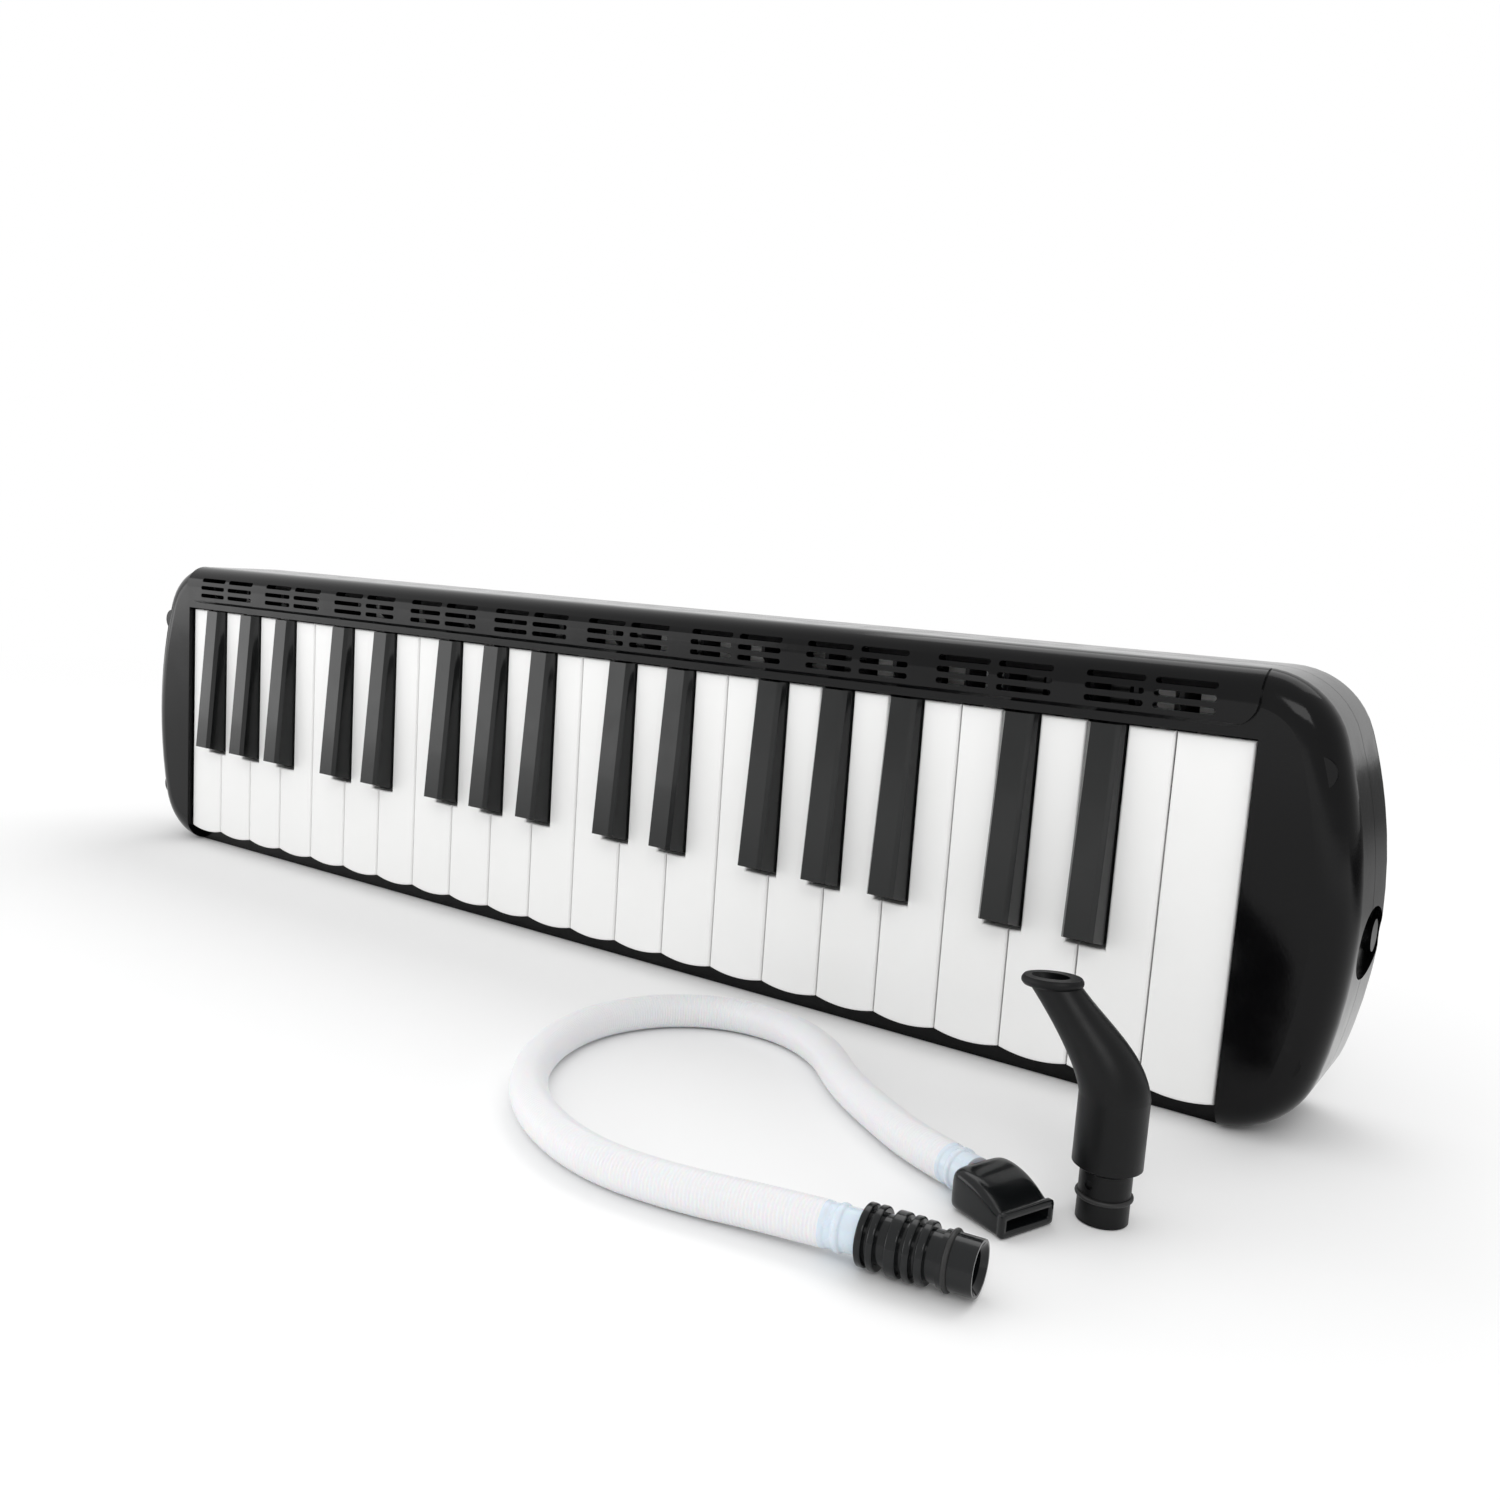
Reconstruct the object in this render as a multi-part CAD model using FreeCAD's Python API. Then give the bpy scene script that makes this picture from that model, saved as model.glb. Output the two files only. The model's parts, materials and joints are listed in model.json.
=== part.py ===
"""A 37-key melodica with its short mouthpiece and its hose set.

Millimetres. X runs along the keyboard with the low notes at -X, the key faces look towards -Y
and +Z is up. The instrument stands on its long front edge, so the key tips are near Z = 0 and
the grille is at the top. The origin is the centre of the face that it stands on.
"""
import FreeCAD, Part
import math
import os

V = FreeCAD.Vector
X_AXIS = V(1, 0, 0)
Y_AXIS = V(0, 1, 0)
Z_AXIS = V(0, 0, 1)

# ---------------------------------------------------------------- driving dimensions
# Keyboard
WHITE_PITCH = 19.4            # one white key and its gap
KEY_GAP = 0.4                 # between two neighbouring keys
KEY_COUNT = 37
WHITE_COUNT = 22
KEY_FACE_Y = -21.0            # the playing surface of the white keys
WEB_FRONT_Z = 20.0            # where the web under a white key starts
KEY_TIP_Z = 6.5               # corners of the white tips
TIP_SAG = 1.3                 # how far the rounded tip reaches past its corners
KEY_REAR_DROP = 17.4         # from the top of the case down to the rear of the keys
KEY_SKIN = 1.6
KEY_SKIRT_DEPTH = 9.0         # from the playing surface to the lower edge of the skirts
KEY_EDGE_ROUND = 0.7
BLACK_WIDTH = 10.0
BLACK_TOP_WIDTH = 6.6
BLACK_FRONT_Z = 40.2
BLACK_FRONT_LEAN = 2.2        # the front face leans back by this much
BLACK_FRONT_HEIGHT = 7.5      # above the white keys
BLACK_REAR_HEIGHT = 3.0
BLACK_BEVEL = 1.6
BLACK_FRONT_GAP = 1.0         # ahead of a black key, for its swing
BLACK_SKIN = 1.4
BLACK_ROOT = 1.0              # how far the cap reaches below the white keys' surface
# Case
END_WIDTH = 26.4              # from the keyboard to the furthest point of each end
CASE_HEIGHT = 115.0
CASE_DEPTH = 46.0
CASE_WALL = 2.2
CHEEK_STANDS = 2.0            # the case beyond the keys' playing surface
END_ARC_R = 141.0             # the bulge of each end
END_ARC_DROP = 61.0           # from the top of the case down to the furthest point
TOP_CORNER_R = 22.0
BOTTOM_CORNER_R = 24.0
FRONT_ROUND = 9.0
BACK_ROUND = 6.5
PARTING_Y = 1.0               # front edge of the back shell
PARTING_GAP = 0.3
CHEEK_WALL = 1.8
CHEEK_GAP = 0.5               # between the keyboard and the cheek walls
RIM_GAP = 0.6                 # between the keys and the cover above them
RIM_WALL = 2.0
RIM_INNER_Y = -16.0
FRONT_RAIL_Z = 4.3            # the rail below the key tips
FRONT_RAIL_Y = -15.0
BACK_RIB_X = (-180.0, -110.0, 90.0, 180.0)
BACK_RIB_WIDTH = 2.0
# Grille
GRILLE_STANDS = 1.5           # the bar beyond the case's front
GRILLE_DROP = 14.5            # from the top of the case down to the bar's lower edge
GRILLE_LIP = 1.0
GRILLE_ROLL = 8.5
GRILLE_END_R = 7.0
SLOT_LENGTH = 15.2
SLOT_WIDTH = 1.55
SLOT_PITCH = 17.6
SLOT_MARGIN = 9.8             # from the end of the bar to the first slot
SLOT_GROUPS = 10
SLOT_COLUMNS = 2
SLOT_ROW_DROPS = (11.3, 8.2, 5.1)   # below the top of the case
# Key mechanism
SHAFT_R = 1.5
SHAFT_Y = -11.0
SHAFT_BEHIND = 11.6           # from the shaft to the rear of the keys
SHAFT_END_GAP = 0.2
EAR_CLEARANCE = 0.03
KEY_CLEARANCE = 0.07
LUG_WALL = 1.63
LUG_WIDTH = 7.0
TAIL_WIDTH = 5.0
TAIL_FRONT_Y = -14.0
TAIL_BACK_Y = -9.0
TAIL_DROP = 7.5               # from the top of the case down to the tails
WEB_STEP = 12.0               # the web gets deeper this far ahead of the shaft
WEB_STEP_LENGTH = 4.0
SKIRT_END = 10.0              # the skirts stop this far ahead of the shaft
PAD_WIDTH = 7.5
PAD_LENGTH = 7.0
PAD_GAP = 0.15                # between a closed pad and the valve board
FRAME_PLATE = 2.0
FRAME_BOTTOM_Z = 8.0
FRAME_RISE = 1.4              # the frame's plate above the rear of the keys
EAR_WIDTH = 2.4
EAR_HALF_Z = 5.5
FIN_WIDTH = 1.2
FIN_FRONT_Y = -19.3
FIN_SLOPE = 5.3               # how far the fins' lower edge climbs
SPRING_WIDTH = 4.0
SPRING_THICK = 0.4
SPRING_FOOT = 6.0
SPRING_REACH = 11.0
SPRING_TAIL = 3.0
SPRING_TAIL_RISE = 0.8
SPRING_PLAY = 0.06            # the leaf runs this far clear of the web
WHITE_FELT_Z = (12.0, 20.0)
BLACK_FELT_Z = (43.0, 49.0)
WHITE_FELT_THICK = 1.6
BLACK_FELT_THICK = 2.6
# Wind way
BOARD_FRONT_Y = -4.0
BOARD_DEPTH = 10.0
BOARD_FACE = 3.0              # thickness in front of the reed cells
BOARD_BOTTOM_Z = 54.0
BOARD_DROP = 3.8              # from the top of the case down to the board
BOARD_OVERHANG = 1.1          # beyond the keyboard at each end
CELL_SILL = 6.0
CELL_LINTEL = 4.2
CELL_WALL = 2.4
VALVE_SIZE = 5.0
REED_PLATE = 1.2
REED_WIDTH = 2.2
REED_THICK = 0.25
REED_LONGEST = 38.0
REED_SHORTEST = 18.0
REED_GAP = 0.15               # beside a reed in its slot
REED_ROOT = 4.0               # how far a reed reaches past its slot
REED_SILL = 5.0               # from the cell's lower end to the slot
RIVET_HEIGHT = 0.8
PLATE_GAP = 0.3
PLATE_PLAY = 0.2              # between the reed plates and the gasket
LOW_PLATE_KEYS = 19           # keys served by the low reed plate
CHEST_DEPTH = 11.0
CHEST_BACK = 2.0
CHEST_RIM = 1.9
CHEST_TOP_RIM = 2.4
SUMP_WIDTH = 16.0
SUMP_MARGIN = 3.4             # below the drain's outlet
BLOW_Y = 12.7
BLOW_Z = 62.0
BLOW_BORE_R = 5.6
BLOW_BORE_LENGTH = 16.0
BLOW_WALL = 1.4
BLOW_STANDS = 0.5             # the socket beyond the case's end
BLOW_FLANGE = 1.8
BLOW_FLANGE_REACH = 4.0
BLOW_FIT = 0.05
BLOW_OVERLAP = 5.0            # how far the socket's tube runs over the nozzle
NOZZLE_R = 4.4
NOZZLE_BORE_R = 3.0
NOZZLE_GAP = 0.5              # between the bore's stop and the nozzle's tip
# Water drain
DRAIN_Z = 49.0
DRAIN_HOLE_R = 2.5
DRAIN_NIPPLE_R = 3.6
DRAIN_NIPPLE_LENGTH = 7.0
BUTTON_R = 4.2
BUTTON_GAP = 0.2
BUTTON_STEM_R = 1.5
BUTTON_STANDS = 1.6           # above the floor of its recess
BUTTON_FLANGE = 1.0
BUTTON_FLANGE_GAP = 0.2
STOPPER = 1.4
STOPPER_GAP = 0.1
COIL_WIRE_R = 0.35
COIL_R = 2.9
COIL_TURNS = 5
COIL_END_GAP = 0.5
RECESS_Y = 3.5
RECESS_HALF_Y = 15.5
RECESS_HALF_Z = 9.0
RECESS_DEPTH = 2.3
RECESS_PAD_REACH = 2.5
RECESS_PAD = 4.0
# Screws
SCREW_R = 1.5
SCREW_HEAD_R = 3.1
SCREW_HEAD = 2.1
SCREW_LENGTH = 16.0
SCREW_SINK = 2.8              # from the case's back to the seat of the heads
SCREW_GRIP = 6.2              # the back shell's bosses under the heads
SCREW_SLACK = 0.3
SCREW_BITE = 0.05
CROSS_HALF = 2.0
CROSS_WIDTH = 0.8
CROSS_DEPTH = 1.0
BOSS_R = 4.0
BACK_BOSS_EXTRA = 0.5
BOSS_GAP = 0.2
END_SCREW_OUT = 14.6          # from the keyboard to the end screws
END_SCREW_LOW = 22.0
END_SCREW_DROP = 23.0
FRAME_SCREW_PITCH = 100.0
FRAME_SCREW_COUNT = 4
FRAME_SCREW_Z = 30.0
# Hand strap
STRAP_CENTRE_X = -60.0
STRAP_SPAN = 146.0
STRAP_WIDTH = 30.0
STRAP_THICK = 2.4
STRAP_RISE = 11.2
STRAP_Z = 57.5
ANCHOR_LENGTH = 14.0
ANCHOR_DEPTH = 5.2
ANCHOR_MARGIN = 2.5
ANCHOR_ROUND = 1.2
STRAP_PLAY = 0.15
# Short mouthpiece
PLUG_R = 5.5
PLUG_LENGTH = 11.0
PLUG_BORE_R = 3.7
ORING_R = 0.6
ORING_PLAY = 0.03
SHORT_X = 208.4
SHORT_Y = -84.8
SHORT_ORING_Z = 5.4
BARREL_R = 7.35
BARREL_STEP = 1.2             # height of the slope under the barrel
BARREL_TOP_Z = 27.0
MOUTH_WALL = 1.5
LIP_OFFSET = 15.8             # how far the bend carries the lip towards -X
LIP_Z = 48.0
LIP_HALF = (5.8, 4.1)
LIP_TILT = 4.0
LIP_ROLL = 1.0
LOCATING_HOLE_R = 0.9
LOCATING_HOLE_Z = 8.4
# Hose set
HOSE_R = 4.6
CUFF_R = 4.8
CUFF_LENGTH = 8.0
CUFF_BEAD_R = 0.35
CONNECTOR_RIB_R = 6.2
CONNECTOR_CORE_R = 4.9
CONNECTOR_LENGTH = 23.0
CONNECTOR_CORE_LENGTH = 16.2
CONNECTOR_PLUG_R = 5.4
CONNECTOR_ORING = 17.6        # its place along the connector
CONNECTOR_MOUTH = 1.2         # the bevel in the plug's mouth
BEAK_LENGTH = 15.4
BEAK_BACK_WIDTH = 14.8
BEAK_BACK_HEIGHT = 9.3
BEAK_FRONT_WIDTH = 15.2
BEAK_FRONT_HEIGHT = 5.4
BEAK_SLOT = (12.4, 2.2)
BEAK_SLOT_START = 3.0
BEAK_INLET_R = 3.3
BEAK_RIM = 1.3
# The hose's route, chosen by hand: (x, y, z) from the connector to the mouthpiece
HOSE_ROUTE = (
    (179.5, -135.8, 6.3),
    (160.0, -138.2, 5.4),
    (140.5, -142.4, 4.7),
    (120.5, -144.4, 4.65),
    (101.5, -139.5, 4.65),
    (84.5, -129.0, 4.65),
    (71.5, -113.5, 4.65),
    (63.5, -94.5, 4.65),
    (62.5, -75.5, 4.65),
    (70.0, -58.0, 4.65),
    (84.5, -47.0, 4.65),
    (103.0, -45.5, 4.65),
    (120.5, -53.5, 4.65),
    (135.5, -69.0, 4.65),
    (150.5, -79.5, 4.65),
    (167.5, -90.3, 4.9),
    (184.4, -96.5, 5.3),
)

# ---------------------------------------------------------------- sizes that follow
KEYBOARD_HALF = WHITE_COUNT * WHITE_PITCH / 2
CASE_HALF = KEYBOARD_HALF + END_WIDTH
CASE_FRONT_Y = KEY_FACE_Y - CHEEK_STANDS
CASE_BACK_Y = CASE_FRONT_Y + CASE_DEPTH
END_ARC_Z = CASE_HEIGHT - END_ARC_DROP
KEY_REAR_Z = CASE_HEIGHT - KEY_REAR_DROP
SHAFT_Z = KEY_REAR_Z - SHAFT_BEHIND
EAR_BORE_R = SHAFT_R + EAR_CLEARANCE
KEY_BORE_R = SHAFT_R + KEY_CLEARANCE
LUG_R = KEY_BORE_R + LUG_WALL
TAIL_TOP_Z = CASE_HEIGHT - TAIL_DROP
WEB_STEP_Z = SHAFT_Z - WEB_STEP
SKIRT_TOP_Z = SHAFT_Z - SKIRT_END
FRAME_TOP_Z = KEY_REAR_Z + FRAME_RISE
RIM_Z = KEY_REAR_Z + RIM_GAP
GRILLE_FACE_Y = CASE_FRONT_Y - GRILLE_STANDS
GRILLE_BOTTOM_Z = CASE_HEIGHT - GRILLE_DROP
SLOT_ROWS = [CASE_HEIGHT - drop for drop in SLOT_ROW_DROPS]
CHEEK_X = KEYBOARD_HALF + CHEEK_GAP
SKIRT_Y = KEY_FACE_Y + KEY_SKIRT_DEPTH
BOARD_BACK_Y = BOARD_FRONT_Y + BOARD_DEPTH
CELL_FRONT_Y = BOARD_FRONT_Y + BOARD_FACE
PLATE_BACK_Y = BOARD_BACK_Y + REED_PLATE
CHEST_BACK_Y = PLATE_BACK_Y + CHEST_DEPTH
FRAME_FRONT_Y = BOARD_FRONT_Y - FRAME_PLATE
BOARD_TOP_Z = CASE_HEIGHT - BOARD_DROP
BOARD_HALF = KEYBOARD_HALF + BOARD_OVERHANG
CELL_BOTTOM_Z = BOARD_BOTTOM_Z + CELL_SILL
CELL_TOP_Z = BOARD_TOP_Z - CELL_LINTEL
CHEST_FLOOR_Z = BOARD_BOTTOM_Z + 2 * CHEST_RIM
CHEST_ROOF_Z = BOARD_TOP_Z - CHEST_TOP_RIM
BLOW_FACE_X = -CASE_HALF - BLOW_STANDS
NOZZLE_TIP_X = BLOW_FACE_X + BLOW_BORE_LENGTH + NOZZLE_GAP
RECESS_FLOOR_X = CASE_HALF - RECESS_DEPTH
SCREW_SEAT_Y = CASE_BACK_Y - SCREW_SINK
BOSS_JOIN_Y = SCREW_SEAT_Y - SCREW_GRIP
END_SCREW_X = KEYBOARD_HALF + END_SCREW_OUT
END_SCREW_Z = (END_SCREW_LOW, CASE_HEIGHT - END_SCREW_DROP)
FAR = 2 * CASE_HALF           # beyond the object on every side
NOTES = ("f", "f_sharp", "g", "g_sharp", "a", "a_sharp", "b",
         "c", "c_sharp", "d", "d_sharp", "e")
WHITE_NOTES = (0, 2, 4, 6, 7, 9, 11)
LOWEST_NOTE = 53              # F3 counted in semitones from C-1


# ---------------------------------------------------------------- shape helpers
def box(x0, x1, y0, y1, z0, z1):
    return Part.makeBox(x1 - x0, y1 - y0, z1 - z0, V(x0, y0, z0))


def rod_x(radius, x0, x1, y, z):
    return Part.makeCylinder(radius, x1 - x0, V(x0, y, z), X_AXIS)


def rod_y(radius, y0, y1, x, z):
    return Part.makeCylinder(radius, y1 - y0, V(x, y0, z), Y_AXIS)


def prism_x(points, x0, x1):
    """A prism along X from its (y, z) outline."""
    outline = Part.makePolygon([V(x0, y, z) for y, z in points + points[:1]])
    return Part.Face(outline).extrude(V(x1 - x0, 0, 0))


def fuse_all(shapes):
    return shapes[0].multiFuse(shapes[1:]).removeSplitter()


def cut_all(shape, tools):
    return shape.cut(Part.makeCompound(tools))


def save(name, shape):
    if not shape.isValid():
        print("NOT VALID:", name)
    shape.exportStep("parts/%s.step" % name)


# ---------------------------------------------------------------- key layout
def cell_centre(key):
    """The middle of a key's lever, reed and valve: seven even cells from F to B, five from C to E."""
    octave, note = divmod(key, 12)
    first_white = octave * 7
    if note < 7:
        return -KEYBOARD_HALF + first_white * WHITE_PITCH + (note + 0.5) * 4 * WHITE_PITCH / 7
    first_white += 4
    return -KEYBOARD_HALF + first_white * WHITE_PITCH + (note - 6.5) * 3 * WHITE_PITCH / 5


def is_white(key):
    return key % 12 in WHITE_NOTES


def white_left(key):
    octave, note = divmod(key, 12)
    return -KEYBOARD_HALF + (octave * 7 + WHITE_NOTES.index(note)) * WHITE_PITCH


def key_name(key):
    octave = (LOWEST_NOTE + key) // 12 - 1
    letter, _, sharp = NOTES[key % 12].partition("_")
    return "key_%02d_%s%d%s" % (key + 1, letter, octave, "_sharp" if sharp else "")


def cell_edges():
    """Where two levers meet, and both ends of the keyboard."""
    middles = [(cell_centre(k) + cell_centre(k + 1)) / 2 for k in range(KEY_COUNT - 1)]
    last = cell_centre(KEY_COUNT - 1) + (cell_centre(KEY_COUNT - 1) - middles[-1])
    end = EAR_WIDTH / 4
    return [-KEYBOARD_HALF + end] + middles + [last, KEYBOARD_HALF - end]


# ---------------------------------------------------------------- keys
def tip_block(x0, x1, y0, y1, z_top, tip_z, sag):
    """A slab whose lower end is a shallow arc."""
    low = V((x0 + x1) / 2, y0, tip_z - sag)
    arc = Part.Arc(V(x0, y0, tip_z), low, V(x1, y0, tip_z)).toShape()
    corners = [V(x1, y0, tip_z), V(x1, y0, z_top), V(x0, y0, z_top), V(x0, y0, tip_z)]
    lines = [Part.makeLine(a, b) for a, b in zip(corners, corners[1:])]
    return Part.Face(Part.Wire([arc] + lines)).extrude(V(0, y1 - y0, 0))


def lever(key):
    """The web under a key, its hinge lug and the tail that carries the valve pad."""
    x = cell_centre(key)
    half = TAIL_WIDTH / 2
    under = KEY_FACE_Y + KEY_SKIN / 2
    front = WEB_FRONT_Z if is_white(key) else BLACK_FRONT_Z + BLACK_FRONT_LEAN
    rear = KEY_REAR_Z - KEY_EDGE_ROUND
    web = prism_x([(under, front), (SKIRT_Y, front), (SKIRT_Y, WEB_STEP_Z),
                   (TAIL_BACK_Y, WEB_STEP_Z + WEB_STEP_LENGTH), (TAIL_BACK_Y, TAIL_TOP_Z),
                   (TAIL_FRONT_Y, TAIL_TOP_Z), (TAIL_FRONT_Y, rear), (under, rear)],
                  x - half, x + half)
    lug = rod_x(LUG_R, x - LUG_WIDTH / 2, x + LUG_WIDTH / 2, SHAFT_Y, SHAFT_Z)
    return [web, lug]


def valve_pad(key):
    x = cell_centre(key)
    return box(x - PAD_WIDTH / 2, x + PAD_WIDTH / 2, TAIL_BACK_Y, BOARD_FRONT_Y - PAD_GAP,
               TAIL_TOP_Z - PAD_LENGTH, TAIL_TOP_Z)


def finish_key(key, pieces):
    body = fuse_all(pieces + lever(key))
    x = cell_centre(key)
    body = body.cut(rod_x(KEY_BORE_R, x - LUG_WIDTH, x + LUG_WIDTH, SHAFT_Y, SHAFT_Z))
    return Part.makeCompound(body.Solids + [valve_pad(key)])


def black_notches(key, grow, z_shift, y0, y1):
    """The room that a white key leaves for the black keys beside it."""
    half = BLACK_WIDTH / 2 + KEY_GAP + grow
    beside = [k for k in (key - 1, key + 1) if 0 <= k < KEY_COUNT and not is_white(k)]
    return [box(cell_centre(k) - half, cell_centre(k) + half, y0, y1,
                BLACK_FRONT_Z - BLACK_FRONT_GAP - z_shift, KEY_REAR_Z + 1) for k in beside]


def white_key(key):
    x0 = white_left(key) + KEY_GAP / 2
    x1 = x0 + WHITE_PITCH - KEY_GAP
    face = tip_block(x0, x1, KEY_FACE_Y, SKIRT_Y, KEY_REAR_Z, KEY_TIP_Z, TIP_SAG)
    notches = black_notches(key, 0, 0, KEY_FACE_Y - 1, SKIRT_Y + 1)
    if notches:
        face = cut_all(face, notches)
    top_edges = [e for e in face.Edges
                 if all(abs(v.Y - KEY_FACE_Y) < 0.01 for v in e.Vertexes)]
    face = face.makeFillet(KEY_EDGE_ROUND, top_edges)
    inner_y = KEY_FACE_Y + KEY_SKIN
    pocket = tip_block(x0 + KEY_SKIN, x1 - KEY_SKIN, inner_y, SKIRT_Y + 1,
                       SKIRT_TOP_Z, KEY_TIP_Z + KEY_SKIN, TIP_SAG)
    walls = black_notches(key, KEY_SKIN, KEY_SKIN, inner_y - 1, SKIRT_Y + 2)
    if walls:
        pocket = cut_all(pocket, walls)
    behind = box(x0 - 1, x1 + 1, inner_y, SKIRT_Y + 1, SKIRT_TOP_Z, KEY_REAR_Z + 1)
    shell = cut_all(face, [pocket, behind])
    return finish_key(key, [shell])


def black_section(x, z_base, height, lean):
    """An outline across a black key, with its top edges bevelled."""
    low_y = KEY_FACE_Y + BLACK_ROOT
    top_y = KEY_FACE_Y - height
    bevel_y = top_y + BLACK_BEVEL * 0.8
    half = BLACK_WIDTH / 2
    top_half = BLACK_TOP_WIDTH / 2
    shoulder = top_half + BLACK_BEVEL * 0.6
    side = [(half, low_y), (half, KEY_FACE_Y - 0.6), (shoulder, bevel_y), (top_half, top_y)]
    outline = [(-dx, y) for dx, y in side] + [(dx, y) for dx, y in reversed(side)]
    points = [V(x + dx, y, z_base + lean * (low_y - y) / (low_y - top_y)) for dx, y in outline]
    return Part.makePolygon(points + points[:1])


def black_key(key):
    x = cell_centre(key)
    half = BLACK_WIDTH / 2
    low_y = KEY_FACE_Y + BLACK_ROOT
    front = black_section(x, BLACK_FRONT_Z, BLACK_FRONT_HEIGHT, BLACK_FRONT_LEAN)
    rear = black_section(x, KEY_REAR_Z, BLACK_REAR_HEIGHT, 0.0)
    cap = Part.makeLoft([front, rear], True, True)
    skirt = box(x - half, x + half, low_y, SKIRT_Y, BLACK_FRONT_Z, SKIRT_TOP_Z)
    plate = box(x - half, x + half, low_y, low_y + KEY_SKIN, SKIRT_TOP_Z, KEY_REAR_Z)
    pocket = box(x - half + BLACK_SKIN, x + half - BLACK_SKIN, low_y + KEY_SKIN, SKIRT_Y + 1,
                 BLACK_FRONT_Z + BLACK_SKIN, SKIRT_TOP_Z + 1)
    return finish_key(key, [cap, skirt.cut(pocket), plate])


# ---------------------------------------------------------------- case
def end_outline(inset):
    """The case seen from the front: straight top and bottom, and two rounded ends."""
    big = END_ARC_R - inset
    centre_x = CASE_HALF - END_ARC_R
    top_z = CASE_HEIGHT - inset
    bottom_z = inset
    top_r = TOP_CORNER_R - inset
    bottom_r = BOTTOM_CORNER_R - inset

    def corner(radius, flat_z, side):
        """Tangent point on the flat, a middle point, and the tangent point on the end arc."""
        z = flat_z - side * radius
        x = centre_x + math.sqrt((big - radius) ** 2 - (z - END_ARC_Z) ** 2)
        end_angle = math.atan2(z - END_ARC_Z, x - centre_x)
        flat_angle = side * math.pi / 2
        middle = (end_angle + flat_angle) / 2
        return ((x, flat_z),
                (x + radius * math.cos(middle), z + radius * math.sin(middle)),
                (x + radius * math.cos(end_angle), z + radius * math.sin(end_angle)))

    top = corner(top_r, top_z, 1)
    bottom = corner(bottom_r, bottom_z, -1)
    bulge = (centre_x + big, END_ARC_Z)

    def arc(a, b, c):
        return Part.Arc(V(a[0], 0, a[1]), V(b[0], 0, b[1]), V(c[0], 0, c[1])).toShape()

    def line(a, b):
        return Part.makeLine(V(a[0], 0, a[1]), V(b[0], 0, b[1]))

    def left(point):
        return (-point[0], point[1])

    return Part.Wire([
        line(left(top[0]), top[0]), arc(*top), arc(top[2], bulge, bottom[2]),
        arc(bottom[2], bottom[1], bottom[0]), line(bottom[0], left(bottom[0])),
        arc(left(bottom[0]), left(bottom[1]), left(bottom[2])),
        arc(left(bottom[2]), left(bulge), left(top[2])),
        arc(left(top[2]), left(top[1]), left(top[0]))])


def case_block(inset):
    """The whole case as one rounded block, smaller by the inset on every side."""
    front_y = CASE_FRONT_Y + inset
    back_y = CASE_BACK_Y - inset
    face = Part.Face(end_outline(inset))
    face.translate(V(0, front_y, 0))
    block = face.extrude(V(0, back_y - front_y, 0))
    for y, radius in ((front_y, FRONT_ROUND - inset), (back_y, BACK_ROUND - inset)):
        rim = [e for e in block.Edges if all(abs(v.Y - y) < 0.01 for v in e.Vertexes)]
        block = block.makeFillet(radius, rim)
    return block


def recess_tools():
    """The shallow oval that the drain button sits in, and the button's hole."""
    oval = Part.Ellipse(V(0, 0, 0), RECESS_HALF_Y, RECESS_HALF_Z).toShape()
    oval.rotate(V(0, 0, 0), Y_AXIS, 90)
    oval.rotate(V(0, 0, 0), X_AXIS, 90)
    oval.translate(V(RECESS_FLOOR_X, RECESS_Y, DRAIN_Z))
    scoop = Part.Face(Part.Wire([oval])).extrude(V(10, 0, 0))
    hole = rod_x(BUTTON_R + BUTTON_GAP, RECESS_FLOOR_X - 10, RECESS_FLOOR_X + 5, BLOW_Y, DRAIN_Z)
    return [scoop, hole]


def recess_pad(y0, y1):
    """Extra wall behind the oval recess."""
    reach = RECESS_HALF_Z + RECESS_PAD_REACH
    return box(RECESS_FLOOR_X - RECESS_PAD, RECESS_FLOOR_X + 0.5, y0, y1,
               DRAIN_Z - reach, DRAIN_Z + reach)


def end_screw_places():
    return [(side * END_SCREW_X, z) for side in (-1, 1) for z in END_SCREW_Z]


def frame_screw_places():
    middle = (FRAME_SCREW_COUNT - 1) / 2
    return [((i - middle) * FRAME_SCREW_PITCH, FRAME_SCREW_Z) for i in range(FRAME_SCREW_COUNT)]


def boss(x, z, y0):
    """A screw boss with its pilot hole open at the back."""
    pilot = rod_y(SCREW_R + SCREW_BITE, SCREW_SEAT_Y - SCREW_LENGTH - 1, BOSS_JOIN_Y + 1, x, z)
    return rod_y(BOSS_R, y0, BOSS_JOIN_Y, x, z).cut(pilot)


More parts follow.
